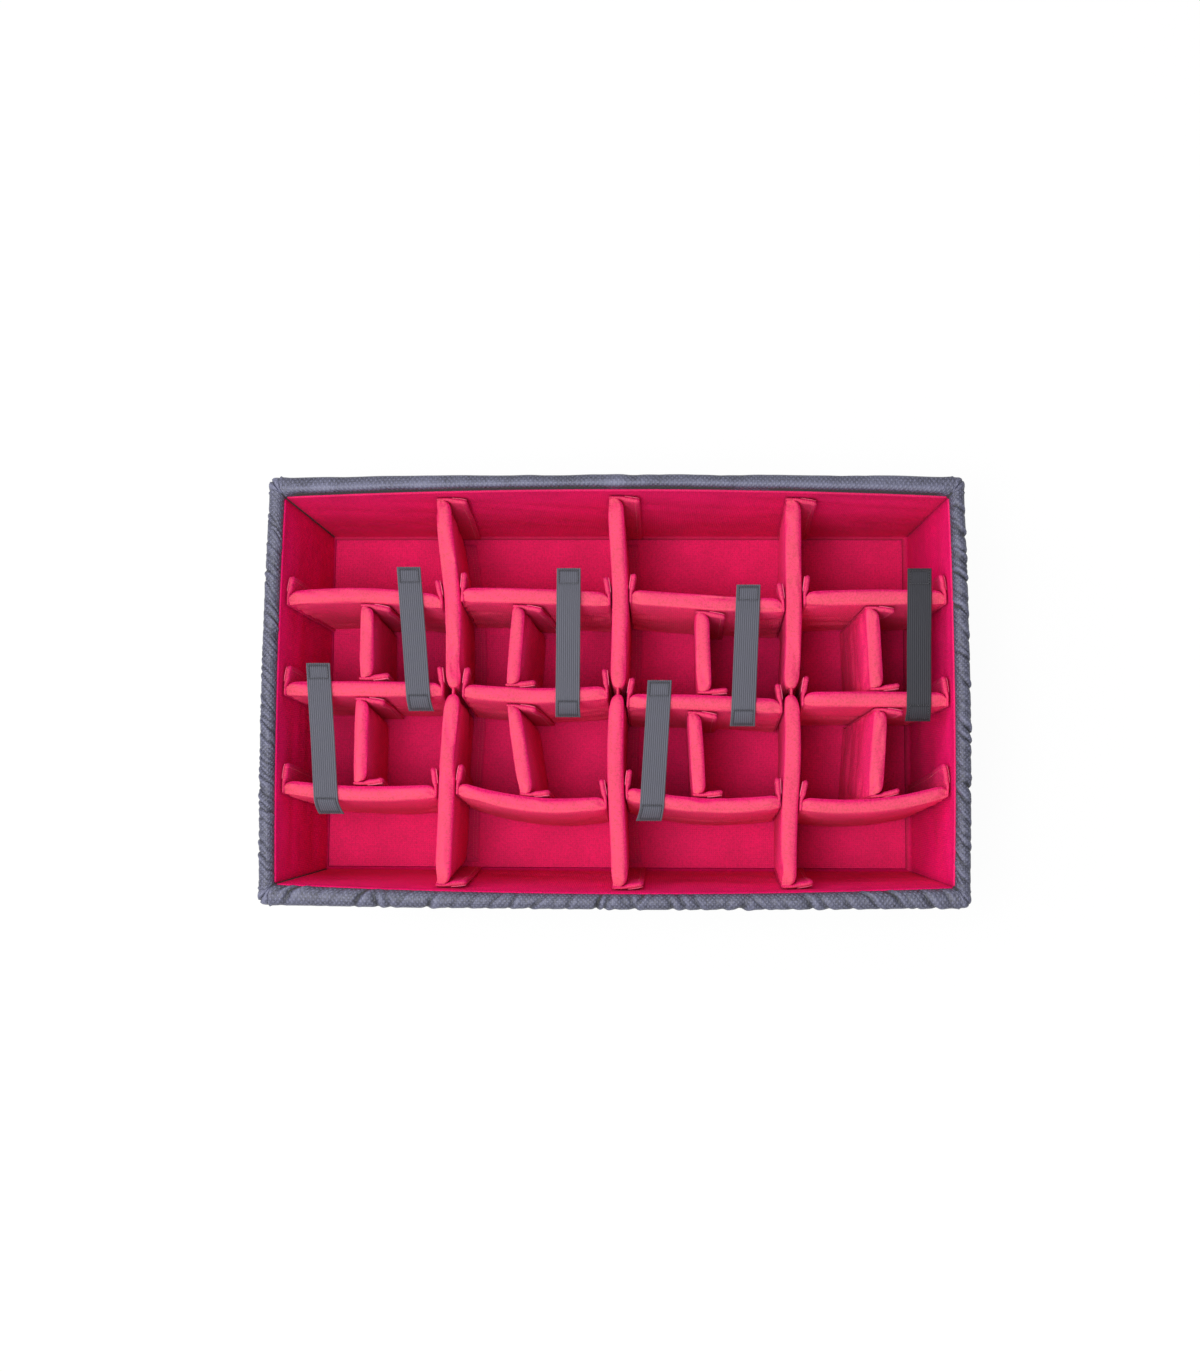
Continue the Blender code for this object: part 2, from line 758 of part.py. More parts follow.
def make_strap(number, collection):
    """Elastic strap over two cross dividers: a fixed front end and a band that lifts."""
    row, column = STRAP_ROWS_COLUMNS[number]
    name = f"strap_{number + 1}"
    half_floor = FLOOR_LENGTH / 2
    place_x = STRAP_PLACE_SHARES[number] * half_floor
    skew = STRAP_SKEW_SHARES[number] * half_floor
    top = pad_base(column) + PAD_HEIGHT + FIT_GAP + DOUBLED_THICKNESS
    half_pad = CROSS_PAD_THICKNESS / 2
    front_x = place_x - skew
    rear_x = place_x + skew
    hinge_y = cross_line(row + 1, column, front_x) + half_pad
    front_tip = hinge_y - CROSS_PAD_THICKNESS - STRAP_FRONT_OVERHANG
    rear_pad_y = cross_line(row, column, rear_x)
    rear_tip = rear_pad_y + half_pad + STRAP_REAR_REACH_SHARES[number] * STRAP_WIDTH
    pivot = Vector((front_x, hinge_y, top))

    def middle_x(y):
        return blend(front_x, rear_x, (y - front_tip) / (rear_tip - front_tip))

    def front_place(share, across, up):
        y = blend(front_tip, hinge_y - FIT_GAP / 2, share)
        past = max(hinge_y - CROSS_PAD_THICKNESS - y, 0.0) / STRAP_FRONT_OVERHANG
        height = top - STRAP_DROOP * past * past - (1 - up) * DOUBLED_THICKNESS
        return middle_x(y) + (across - HALF_SHARE) * STRAP_WIDTH, y, height

    swept_piece(
        f"{name}_front_end", STRAP_END_RING_SHARES, BOX_SECTION, front_place, pivot,
        collection, "grey elastic",
    )

    step_y = rear_tip - STRAP_DOUBLED_LENGTH
    rings = [hinge_y + FIT_GAP / 2, step_y + STRAP_STEP_LENGTH, rear_pad_y, rear_tip]
    rings += [blend(hinge_y, step_y, share) for share in STRAP_BAND_RING_SHARES]
    span = rear_pad_y - hinge_y

    def band_place(y, across, up):
        share = min(max((y - hinge_y) / span, 0.0), 1.0)
        sag = STRAP_SAG * math.sin(math.pi * share) ** 2
        thickness = DOUBLED_THICKNESS if y > step_y else STRAP_THICKNESS
        return (
            middle_x(y) + (across - HALF_SHARE) * STRAP_WIDTH, y, top - sag - (1 - up) * thickness
        )

    swept_piece(
        f"{name}_band", sorted(rings), BOX_SECTION, band_place, pivot, collection, "grey elastic"
    )


def main():
    """Build the padded case divider."""
    clear_scene()
    parts = new_collection("padded_case_divider")
    guides = new_collection("cutters")
    make_tray(parts)
    for number in range(len(LONG_PLACE_SHARES)):
        make_long_divider(number, parts, guides)
    for row, places in enumerate(CROSS_PLACE_SHARES):
        for column in range(len(places)):
            make_cross_divider(row, column, parts, guides)
    for pair, places in enumerate(SMALL_PLACE_SHARES):
        for column in range(len(places)):
            make_small_divider(pair, column, parts, guides)
    for number in range(len(STRAP_ROWS_COLUMNS)):
        make_strap(number, parts)


main()
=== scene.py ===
"""Looks of the padded case divider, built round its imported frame.

Metres, +Z up, +X to the right along the tray, +Y to the rear. A divider is worked out in
its own terms: along its length, across its thickness and up. Its tabs are sewn on at its
low side across and fold over its ends towards its high side.
"""

import json
import math
from functools import lru_cache

import bmesh
import bpy
import numpy as np
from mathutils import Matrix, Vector, noise
from mathutils.bvhtree import BVHTree


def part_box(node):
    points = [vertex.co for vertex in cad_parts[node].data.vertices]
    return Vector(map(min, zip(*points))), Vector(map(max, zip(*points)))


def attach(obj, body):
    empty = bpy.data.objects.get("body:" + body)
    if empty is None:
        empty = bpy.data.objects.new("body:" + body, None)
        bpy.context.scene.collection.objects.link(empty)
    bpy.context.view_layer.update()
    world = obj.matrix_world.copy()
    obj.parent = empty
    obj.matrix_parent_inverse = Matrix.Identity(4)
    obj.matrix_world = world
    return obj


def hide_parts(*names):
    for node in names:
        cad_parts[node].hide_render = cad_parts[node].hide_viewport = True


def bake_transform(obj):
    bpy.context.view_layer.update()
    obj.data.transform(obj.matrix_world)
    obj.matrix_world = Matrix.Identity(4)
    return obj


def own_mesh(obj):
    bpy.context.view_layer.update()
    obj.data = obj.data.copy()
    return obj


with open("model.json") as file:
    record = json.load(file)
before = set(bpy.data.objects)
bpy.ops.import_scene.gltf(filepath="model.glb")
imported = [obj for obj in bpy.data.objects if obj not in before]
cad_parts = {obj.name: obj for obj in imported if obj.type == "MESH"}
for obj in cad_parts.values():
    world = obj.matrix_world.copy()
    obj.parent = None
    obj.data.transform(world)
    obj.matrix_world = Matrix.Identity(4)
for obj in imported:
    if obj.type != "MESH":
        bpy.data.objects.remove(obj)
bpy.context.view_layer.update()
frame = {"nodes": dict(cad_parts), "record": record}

bl_info = {
    "name": "Padded case divider",
    "version": (1, 0, 0),
    "blender": (4, 5, 0),
    "location": "3D View > Sidebar > Case divider",
    "description": "Dresses the frame of a padded case divider with sewn and padded pieces",
    "category": "Object",
}

# Names of the pieces of the frame
ROWS = ("r1", "r2", "r3")
COLUMNS = ("c1", "c2", "c3", "c4")
CROSS_DIVIDERS = tuple(f"cross_divider_{row}_{column}" for row in ROWS for column in COLUMNS)
SMALL_DIVIDERS = tuple(
    f"small_divider_{pair}_{number}" for pair in ("rear", "front") for number in (1, 2, 3, 4)
)
LONG_DIVIDERS = ("long_divider_1", "long_divider_2", "long_divider_3")
STRAPS = tuple(f"strap_{number}" for number in (1, 2, 3, 4, 5, 6))
WALLS = ("rear", "left", "front", "right")

# How the frame's dividers are measured: at which shares of their height, in how many places
# and how far in from their ends, and how deep a tab's outer face may curve
PROBE_HEIGHT_SHARES = (0.25, 0.75)
MIDDLE_LINE_DEGREE = 4
PROBE_COUNT = 24
PROBE_MARGIN = 0.004
TAB_FACE_DEPTH = 0.0045
TINY = 1e-6
HALF = 0.5


# Kinds of settings

def metres(name, description, default):
    """Setting that is a length."""
    return bpy.props.FloatProperty(
        name=name, description=description, default=default, unit="LENGTH")


def number(name, description, default, **limits):
    """Setting that is a plain number."""
    return bpy.props.FloatProperty(name=name, description=description, default=default, **limits)


def tint(name, description, default):
    """Setting that is a colour."""
    return bpy.props.FloatVectorProperty(
        name=name, description=description, default=default, subtype="COLOR", min=0.0, max=1.0)


class TraySizes(bpy.types.PropertyGroup):
    """Sizes of the tray's cover and lining."""

    front_bow: metres("Front bow", "How far the front rim bows out", 0.0075)
    rear_bow: metres("Rear bow", "How far the rear rim bows out", 0.0075)
    rear_corner: metres("Rear corners", "How far the rim's rear corners are pulled out", 0.0050)
    front_corner: metres("Front corners", "How far the rim's front corners are pulled out", 0.0052)
    short_bow: metres("Short wall bow", "How far the left and right rims bow out", 0.0030)
    corner_radius: metres("Corner radius", "Radius of the tray's outer corners", 0.0200)
    rim_corner_radius: metres(
        "Rim corner radius", "Radius of the cover's corners at the rim", 0.0110)
    rim_puff: metres("Rim puff", "How far the rolled rim stands out past the wall", 0.0012)
    rim_crown: metres("Rim crown", "Height of the rim's rounded top", 0.0080)
    wall_thickness: metres("Wall thickness", "Padded wall from cover to lining", 0.0156)
    cover_thickness: metres("Cover thickness", "Thickness of the nylon cover", 0.0011)
    lining_thickness: metres("Lining thickness", "Thickness of the loop lining", 0.0014)
    crease_depth: metres("Crease depth", "Depth of the creases across the rolled rim", 0.0034)
    corner_ear: metres("Corner ear", "How far the cover is pinched out at a corner", 0.0035)


class PaddingSizes(bpy.types.PropertyGroup):
    """Sizes and cloth settings of the padded panels."""

    fabric_inset: metres("Fabric inset", "How much smaller a panel starts before it swells", 0.0002)
    step: metres("Cloth step", "Spacing of the fabric's points in the simulation", 0.0062)
    crown: metres("Crown", "Height of a panel's rounded top", 0.0062)
    squareness: number("Squareness", "How square the rounded top is; 2 is an ellipse", 2.4)
    end_radius: metres("End radius", "Length over which a panel narrows to its seam", 0.0100)
    hinge_radius: metres(
        "Hinge radius", "Length over which a long panel narrows to its web", 0.0150)
    seam_width: metres("Seam width", "Thickness of a panel where it is sewn shut", 0.0032)
    top_drop: metres("Top drop", "How far a panel's top falls at its ends", 0.0035)
    pressure: number("Pressure", "Pressure of the foam on the fabric", 3.0)
    slack: number("Slack", "Share by which the fabric is cut larger than the foam", 0.030)
    frames: bpy.props.IntProperty(
        name="Frames", description="Frames for which the fabric settles", default=20)


class TabSizes(bpy.types.PropertyGroup):
    """Sizes of the sewn tabs, their hook tape and the hinge webs."""

    slot: metres("Tab and tape", "Thickness of a tab with its hook tape", 0.0030)
    thickness: metres("Tab thickness", "Thickness of a tab's fabric", 0.0021)
    puff: metres("Puff", "How much thicker a tab is near its top, where it isn't pressed", 0.0030)
    tape_thickness: metres("Tape thickness", "Thickness of the hook tape", 0.0007)
    flare: metres("Flare", "How far a tab's free edge stands off at the top", 0.0030)
    corner: metres("Corner", "How far a tab's top corner is rounded down", 0.0045)
    hem: metres("Hem", "Distance of the hem's stitches from the free edge", 0.0050)
    web_thickness: metres("Web thickness", "Thickness of the sewn web between two halves", 0.0028)


class StrapSizes(bpy.types.PropertyGroup):
    """Sizes of the elastic straps."""

    rib_pitch: metres("Rib pitch", "Spacing of the ribs of the elastic", 0.00210)
    rib_height: metres("Rib height", "Height of the ribs of the elastic", 0.00026)
    thickness: metres("Thickness", "Thickness of the elastic", 0.0015)
    doubled: metres("Doubled end", "Length of the doubled end of a strap", 0.0225)
    box_margin: metres("Box stitch margin", "Distance of the box stitch from the edges", 0.0028)
    droop: metres("Droop", "How far the front tip hangs down past its divider", 0.0080)


class StitchSizes(bpy.types.PropertyGroup):
    """Sizes of the thread."""

    pitch: metres("Pitch", "Distance from stitch to stitch", 0.0026)
    length: metres("Length", "Length of a stitch", 0.0019)
    thickness: metres("Thread", "Thickness of the thread", 0.0005)


class FabricColours(bpy.types.PropertyGroup):
    """Colours of the fabrics."""

    coral: tint("Divider fabric", "Brushed loop fabric of the dividers", (0.920, 0.015, 0.172))
    red: tint("Lining", "Brushed loop lining of the tray", (0.770, 0.002, 0.130))
    nylon: tint("Nylon", "Darker yarn of the nylon cover", (0.007, 0.007, 0.013))
    nylon_light: tint("Nylon, light yarn", "Lighter yarn of the nylon cover", (0.104, 0.106, 0.166))
    elastic: tint("Elastic", "Ribs of the elastic straps", (0.070, 0.071, 0.090))
    elastic_dark: tint(
        "Elastic, between ribs", "Grooves of the elastic straps", (0.014, 0.014, 0.020))
    hook: tint("Hook tape", "Hook tape on the tabs", (0.850, 0.110, 0.230))
    grey_thread: tint("Grey thread", "Thread of the straps and the cover", (0.022, 0.025, 0.032))
    pink_thread: tint("Pink thread", "Thread of the dividers", (0.600, 0.006, 0.080))
    foam: tint("Foam", "Foam inside the walls", (0.030, 0.030, 0.032))
    board: tint("Board", "Stiff board in the base", (0.100, 0.080, 0.060))


class StageSettings(bpy.types.PropertyGroup):
    """Camera, lamps and floor."""

    camera_place: bpy.props.FloatVectorProperty(
        name="Camera", description="Place of the camera",
        default=(0.0615, -0.3086, 2.456), subtype="TRANSLATION", unit="LENGTH")
    camera_turn: bpy.props.FloatVectorProperty(
        name="Camera turn", description="Turn of the camera about X, Y and Z",
        default=(0.1375, 0.0327, 0.0067), subtype="EULER")
    lens: number("Lens", "Focal length in millimetres", 58.36)
    world_light: number("World", "Light that comes from all round", 0.50)
    key_light: number("Key", "Strength of the soft lamp on the left", 30.0)
    top_light: number("Top", "Strength of the soft lamp overhead", 40.0)
    front_light: number("Front", "Strength of the soft lamp in front", 19.0)
    rear_light: number("Rear", "Strength of the soft lamp behind", 14.0)
    floor_glow: number(
        "Floor glow", "Share of the floor that the camera sees as white", 0.95, min=0.0, max=1.0)


class CaseDividerSettings(bpy.types.PropertyGroup):
    """Everything that a user would change."""

    tray: bpy.props.PointerProperty(name="Tray", type=TraySizes)
    padding: bpy.props.PointerProperty(name="Padding", type=PaddingSizes)
    tabs: bpy.props.PointerProperty(name="Tabs", type=TabSizes)
    straps: bpy.props.PointerProperty(name="Straps", type=StrapSizes)
    stitches: bpy.props.PointerProperty(name="Stitches", type=StitchSizes)
    colours: bpy.props.PointerProperty(name="Colours", type=FabricColours)
    stage: bpy.props.PointerProperty(name="Stage", type=StageSettings)


def settings():
    """The add-on's settings in the scene."""
    return bpy.context.scene.case_divider


# Small sums

def blend(start, end, share):
    """Value at a share of the way from start to end."""
    return start + (end - start) * share


def rounded(distance, radius):
    """Share of the full width at a distance from an end rounded by a radius."""
    share = np.clip(distance / radius, 0.0, 1.0)
    return np.sqrt(np.clip(1.0 - (1.0 - share) ** 2, 0.0, 1.0))


def eased(share):
    """Smooth step from 0 to 1."""
    share = np.clip(share, 0.0, 1.0)
    return share * share * (3.0 - 2.0 * share)


def ripple(a, b, length, width, seed):
    """Smooth noise from -1 to 1 whose waves are length by width."""
    return noise.noise(Vector((a / length, b / width, seed)))


def edged_steps(length, step, rounding):
    """Places from 0 to length that lie close together beside both edges."""
    count = max(2, round((length - 2 * rounding) / step) + 1)
    inner = np.linspace(rounding, length - rounding, count)
    edge = rounding * np.array((0.0, 0.12, 0.45))
    return np.concatenate([edge, inner, length - edge[::-1]])


def bump(distance, width):
    """Bell from 1 at no distance down to 0, by a width."""
    return math.exp(-(distance / width) ** 2)


def path_lengths(path):
    """Length of a path of pairs up to each of its points."""
    lengths = [0.0]
    for (z0, i0), (z1, i1) in zip(path, path[1:]):
        lengths.append(lengths[-1] + math.hypot(z1 - z0, i1 - i0))
    return np.array(lengths)


# Meshes

def linked(name, data):
    """New object in the scene."""
    made = bpy.data.objects.new(name, data)
    bpy.context.scene.collection.objects.link(made)
    return made


def add_piece(name, points, faces, uvs, mixed=False):
    """Object of a closed mesh in the frame's own places, its faces turned outwards.

    mixed is for faces that don't all point the same way yet.
    """
    mesh = bpy.data.meshes.new(name)
    mesh.from_pydata([tuple(point) for point in points], [], [tuple(face) for face in faces])
    layer = mesh.uv_layers.new(name="fabric")
    layer.data.foreach_set("uv", np.asarray(uvs, dtype=np.float32).ravel())
    shape = bmesh.new()
    shape.from_mesh(mesh)
    if mixed:
        bmesh.ops.recalc_face_normals(shape, faces=shape.faces)
    inwards = shape.calc_volume(signed=True) < 0
    if inwards:
        bmesh.ops.reverse_faces(shape, faces=shape.faces)
    if mixed or inwards:
        shape.to_mesh(mesh)
    shape.free()
    mesh.shade_smooth()
    return linked(name, mesh)


def vertex_values(mesh, name):
    """Places or normals of a mesh's points, one after another."""
    values = np.empty(len(mesh.vertices) * 3)
    mesh.vertices.foreach_get(name, values)
    return values


def grid_normals(middle, closed):
    """Unit normals of a grid of points, which may close on itself along its first side."""
    if closed:
        padded = np.concatenate([middle[-1:], middle, middle[:1]])
        along = np.gradient(padded, axis=0)[1:-1]
    else:
        along = np.gradient(middle, axis=0)
    across = np.gradient(middle, axis=1)
    normal = np.cross(along, across)
    return normal / np.maximum(np.linalg.norm(normal, axis=2, keepdims=True), TINY)


def shell(name, middle, us, vs, half, closed=False):
    """Closed sheet round a grid of middle points, standing off by half to both sides."""
    normal = grid_normals(middle, closed)
    rows, columns = middle.shape[:2]
    front = middle + normal * half[..., None]
    back = middle - normal * half[..., None]
    points = np.concatenate([front.reshape(-1, 3), back.reshape(-1, 3)])
    faces = []
    uvs = []

    def quad(corners):
        faces.append([
            (side * rows + row % rows) * columns + column for row, column, side in corners])
        uvs.extend((us[row], vs[column]) for row, column, _ in corners)

    last = rows if closed else rows - 1
    for row in range(last):
        for column in range(columns - 1):
            ring = [(row, column), (row + 1, column), (row + 1, column + 1), (row, column + 1)]
            quad([(r, c, 0) for r, c in ring])
            quad([(r, c, 1) for r, c in reversed(ring)])
    for row in range(last):
        for column, turned in ((0, False), (columns - 1, True)):
            strip = [(row, column, 1), (row + 1, column, 1), (row + 1, column, 0), (row, column, 0)]
            quad(strip[::-1] if turned else strip)
    if not closed:
        for column in range(columns - 1):
            for row, turned in ((0, True), (rows - 1, False)):
                strip = [
                    (row, column, 1), (row, column + 1, 1), (row, column + 1, 0), (row, column, 0)]
                quad(strip[::-1] if turned else strip)
    return add_piece(name, points, faces, uvs)


def mark(piece, name, values):
    """Keep a value for each place of a shell's grid, the same on both of its faces."""
    doubled = np.tile(values.astype(np.float32).ravel(), 2)
    piece.data.attributes.new(name, "FLOAT", "POINT").data.foreach_set("value", doubled)


def slab(name, place, us, vs, thickness, rounding):
    """Closed sheet with rounded edges round the surface place(u, v)."""
    middle = np.array([[place(u, v) for v in vs] for u in us])
    edge_u = rounded(np.minimum(us - us[0], us[-1] - us), rounding)
    edge_v = rounded(np.minimum(vs - vs[0], vs[-1] - vs), rounding)
    edge = np.maximum(edge_u[:, None] * edge_v[None, :], 0.12)
    if callable(thickness):
        full = np.array([[thickness(u, v) for v in vs] for u in us])
    else:
        full = thickness
    return shell(name, middle, us, vs, HALF * full * edge)


def baked(piece):
    """Apply the piece's modifiers to its mesh."""
    graph = bpy.context.evaluated_depsgraph_get()
    mesh = bpy.data.meshes.new_from_object(piece.evaluated_get(graph))
    piece.modifiers.clear()
    old = piece.data
    piece.data = mesh
    bpy.data.meshes.remove(old)
    mesh.name = piece.name
    return piece


def smoothed(piece):
    """Subdivide the piece once and keep the result as its mesh."""
    modifier = piece.modifiers.new("smooth surface", "SUBSURF")
    modifier.levels = 1
    modifier.render_levels = 1
    return baked(piece)


def dress(piece, material, body, slot, replaces=()):
    """Give a finished piece its material, its body and its part in the frame."""
    piece.data.materials.clear()
    piece.data.materials.append(material)
    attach(piece, body)
    if replaces:
        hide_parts(*replaces)
    return piece


def body_of_node(node):
    """The body that a CAD node belongs to."""
    bodies = frame["record"]["behaviour"]["bodies"]
    return next(body for body, nodes in bodies.items() if node in nodes)


# Materials

# Spacing of the yarns and hooks, the tint of the sheen, and the colour and direction of the painted
# highlight on faces turned towards the lamps
KNIT_PITCH = 0.0021
WEAVE_PITCH = 0.0034
PICK_PITCH = 0.0011
HOOK_PITCHES = (0.0014, 0.0012)
SHEEN_COLOUR = (1.0, 0.42, 0.46, 1.0)
LIT_SIDE_COLOUR = (1.0, 0.300, 0.175)
LIGHT_DIRECTION = (-0.25, -0.50, 0.83)


def chain(tree, kind, fields=(), **inputs):
    """Add a node to a tree; an input, by name or as _number, is a value or a node's output."""
    node = tree.nodes.new(kind)
    for key, value in dict(fields).items():
        setattr(node, key, value)
    for key, value in inputs.items():
        numbered = key[1:].isdigit()
        socket = node.inputs[int(key[1:]) if numbered else key.replace("_", " ")]
        if isinstance(value, bpy.types.NodeSocket):
            tree.links.new(value, socket)
        else:
            socket.default_value = value
    return node


def arithmetic(tree, operation, *values):
    """A Math node's result."""
    places = {f"_{place}": value for place, value in enumerate(values)}
    return chain(tree, "ShaderNodeMath", {"operation": operation}, **places).outputs[0]


class Shading:
    """Node tree of a new material with a Principled shader."""

    def __init__(self, name, roughness, **constants):
        self.material = bpy.data.materials.new(name)
        self.material.use_nodes = True
        self.tree = self.material.node_tree
        self.shader = self.tree.nodes["Principled BSDF"]
        self.shader.inputs["Roughness"].default_value = roughness
        for socket, value in constants.items():
            self.shader.inputs[socket.replace("_", " ")].default_value = value

    def add(self, kind, fields=(), **inputs):
        """Add a node to the material."""
        return chain(self.tree, kind, fields, **inputs)

    def places(self, output):
        """Object coordinates or the fabric's own UV map, in metres."""
        return self.add("ShaderNodeTexCoord").outputs[output]

    def noise(self, vector, scale, detail=3.0, roughness=0.55):
        """Noise from 0 to 1 at a scale in waves a metre."""
        node = self.add(
            "ShaderNodeTexNoise", Vector=vector, Scale=scale, Detail=detail, Roughness=roughness)
        return node.outputs["Fac"]

    def sum(self, operation, first, second=0.0, third=0.0):
        """A Math node's result."""
        return arithmetic(self.tree, operation, first, second, third)

    def ramp(self, value, low, high):
        """Spread a value from low to high out to 0 to 1, and clip it."""
        node = self.add("ShaderNodeMapRange", Value=value, From_Min=low, From_Max=high)
        return node.outputs["Result"]

    def attribute(self, name):
        """Value that the mesh keeps under a name."""
        return self.add("ShaderNodeAttribute", {"attribute_name": name}).outputs["Fac"]

    def mix(self, share, first, second, kind="MIX"):
        """Mix two colours."""
        first, second = (
            value if isinstance(value, bpy.types.NodeSocket) else (*value, 1.0)
            for value in (first, second))
        fields = {"data_type": "RGBA", "blend_type": kind}
        return self.add("ShaderNodeMix", fields, _0=share, _6=first, _7=second).outputs[2]

    def lay(self, tone, colour, value, strength):
        """Lay a colour over a tone where a value is high."""
        return self.mix(self.sum("MULTIPLY", value, strength), tone, colour)

    def waves(self, vector, turn, pitch):
        """Sine from 0 to 1 along a direction turned in the plane of the first two axes."""
        parts = self.add("ShaderNodeSeparateXYZ", _0=vector).outputs
        across = self.sum("MULTIPLY", parts[0], math.cos(turn) * math.tau / pitch)
        along = self.sum("MULTIPLY", parts[1], math.sin(turn) * math.tau / pitch)
        wave = self.sum("SINE", self.sum("ADD", across, along))
        return self.sum("MULTIPLY_ADD", wave, HALF, HALF)

    def finish(self, colour, height=None, distance=0.0, strength=1.0, roughness=None):
        """Link colour, bump and roughness to the shader."""
        self.tree.links.new(colour, self.shader.inputs["Base Color"])
        if height is not None:
            relief = self.add("ShaderNodeBump", Height=height, Distance=distance, Strength=strength)
            self.tree.links.new(relief.outputs[0], self.shader.inputs["Normal"])
        if roughness is not None:
            self.tree.links.new(roughness, self.shader.inputs["Roughness"])
        return self.material


def shade(colour, factor):
    """A colour made darker or lighter."""
    return tuple(min(channel * factor, 1.0) for channel in colour)


@lru_cache(maxsize=None)
def loop_fabric(name, colour, sheen, lit, dim, fuzz):
    """Brushed loop fabric: fine knit under a short nap.

    lit is how much painted highlight pales the faces turned towards the lamps, dim how much
    painted shade darkens the faces that look up, and fuzz how mottled it is.
    """
    look = Shading(name, 0.92, Sheen_Weight=sheen, Sheen_Roughness=0.45, Specular_IOR_Level=0.05)
    look.shader.inputs["Sheen Tint"].default_value = SHEEN_COLOUR
    cloth = look.places("UV")
    place = look.places("Object")
    nap = look.noise(place, 26.0, 3.0)
    grain = look.noise(place, 430.0, 3.0, 0.80)
    tufts = look.noise(place, 190.0, 2.0)
    weft = look.waves(cloth, 0.0, KNIT_PITCH)
    warp = look.waves(cloth, math.pi / 2, KNIT_PITCH)
    knit = look.sum("MULTIPLY", weft, warp)
    tone = look.mix(look.ramp(nap, 0.30, 0.70), shade(colour, 0.84), shade(colour, 1.06))
    tone = look.lay(tone, shade(colour, 0.72), look.ramp(tufts, 0.45, 0.72), 0.28 * fuzz)
    tone = look.lay(tone, shade(colour, 0.46), look.ramp(grain, 0.52, 0.36), 0.66 * fuzz)
    tone = look.lay(tone, shade(colour, 1.40), look.ramp(grain, 0.50, 0.66), 0.54 * fuzz)
    tone = look.lay(tone, shade(colour, 0.50), knit, 0.26)
    # Painted shade in the lining's corners, at its foot and just under its rolled top
    nook = look.attribute("nook")
    tone = look.lay(tone, shade(colour, 0.20), nook, 0.80)
    facing = look.add("ShaderNodeNewGeometry").outputs["Normal"]
    # Painted highlight: faces turned towards the lamps are laid over with a paler colour, by lit
    light_side = look.add(
        "ShaderNodeVectorMath", {"operation": "DOT_PRODUCT"}, _0=facing, _1=LIGHT_DIRECTION)
    tone = look.lay(tone, LIT_SIDE_COLOUR, look.ramp(light_side.outputs["Value"], 0.35, 0.95), lit)
    # Painted shade: faces that look up are made darker, by dim
    upward = look.ramp(look.add("ShaderNodeSeparateXYZ", _0=facing).outputs[2], 0.30, 0.95)
    tone = look.mix(upward, tone, (1.0 - dim,) * 3, "MULTIPLY")
    height = look.sum("MULTIPLY_ADD", knit, 0.45, look.sum("MULTIPLY", grain, 0.9))
    return look.finish(tone, height, 0.0006, 0.75, look.ramp(grain, -0.6, 1.1))


@lru_cache(maxsize=None)
def nylon():
    """Coated nylon with a fine diagonal dobby weave."""
    colours = settings().colours
    look = Shading(
        "grey dobby nylon", 0.5, Specular_IOR_Level=0.5, Coat_Weight=0.10, Coat_Roughness=0.35)
    cloth = look.places("UV")
    place = look.places("Object")
    slanted = [look.waves(cloth, turn, WEAVE_PITCH) for turn in (math.pi / 4, -math.pi / 4)]
    weave = look.sum("MULTIPLY", *slanted)
    fibre = look.noise(place, 900.0, 2.0)
    wear = look.noise(place, 45.0, 3.0)
    slub = look.noise(place, 420.0, 2.0)
    uneven = look.sum("ADD", look.sum("SUBTRACT", fibre, HALF), look.sum("SUBTRACT", slub, HALF))
    check = look.sum("MULTIPLY_ADD", uneven, 1.3, look.ramp(weave, -0.60, 0.95))
    tone = look.mix(check, tuple(colours.nylon), tuple(colours.nylon_light))
    tone = look.lay(tone, shade(colours.nylon_light, 1.1), look.ramp(wear, 0.45, 0.75), 0.25)
    fold = look.attribute("fold")
    ruffle = look.attribute("ruffle")
    stretched = look.add(
        "ShaderNodeMapping", Vector=cloth, Scale=(260.0, 75.0, 1.0), Rotation=(0.0, 0.0, 0.5))
    streak = look.add(
        "ShaderNodeTexNoise", {"noise_type": "RIDGED_MULTIFRACTAL"},
        Vector=stretched.outputs[0], Scale=1.0, Detail=2.0)
    pucker = look.sum("MULTIPLY", look.ramp(streak.outputs["Fac"], 0.45, 1.15), ruffle)
    # Painted shade in the fine puckers across the rim, where ruffle is high
    tone = look.lay(tone, tuple(colours.nylon), pucker, 0.70)
    # Painted shade in the valleys of the folds, and painted highlight on their bulges
    tone = look.lay(tone, tuple(colours.nylon), look.ramp(fold, 0.0, -0.60), 0.92)
    tone = look.lay(tone, shade(colours.nylon_light, 1.5), look.ramp(fold, 0.0, 0.60), 0.60)
    height = look.sum("MULTIPLY_ADD", pucker, -2.6, weave)
    return look.finish(tone, height, 0.0005, 0.9, look.ramp(fibre, -1.0, 1.6))


@lru_cache(maxsize=None)
def elastic(share):
    """Knitted elastic: ribs along the strap, small stitches across them, dark at the seams."""
    colours = settings().colours
    light, dark = shade(colours.elastic, 1.22 * share), shade(colours.elastic_dark, share)
    look = Shading("grey ribbed elastic", 0.72, Sheen_Weight=0.10 * share, Specular_IOR_Level=0.3)
    cloth = look.places("UV")
    rib = look.waves(cloth, math.pi / 2, settings().straps.rib_pitch)
    pick = look.waves(cloth, 0.0, PICK_PITCH)
    grain = look.noise(look.places("Object"), 700.0, 2.0)
    # Painted shade in the grooves between the ribs
    tone = look.mix(look.ramp(rib, -0.30, 0.75), dark, light)
    tone = look.lay(tone, shade(light, 0.5), pick, 0.20)
    tone = look.lay(tone, shade(light, 1.15), grain, 0.30)
    # Painted shade along the groove that each seam's stitches make
    seam = look.attribute("seam")
    tone = look.lay(tone, dark, seam, 0.75)
    height = look.sum("MULTIPLY_ADD", pick, 0.5, grain)
    return look.finish(tone, height, 0.00018, 0.6)


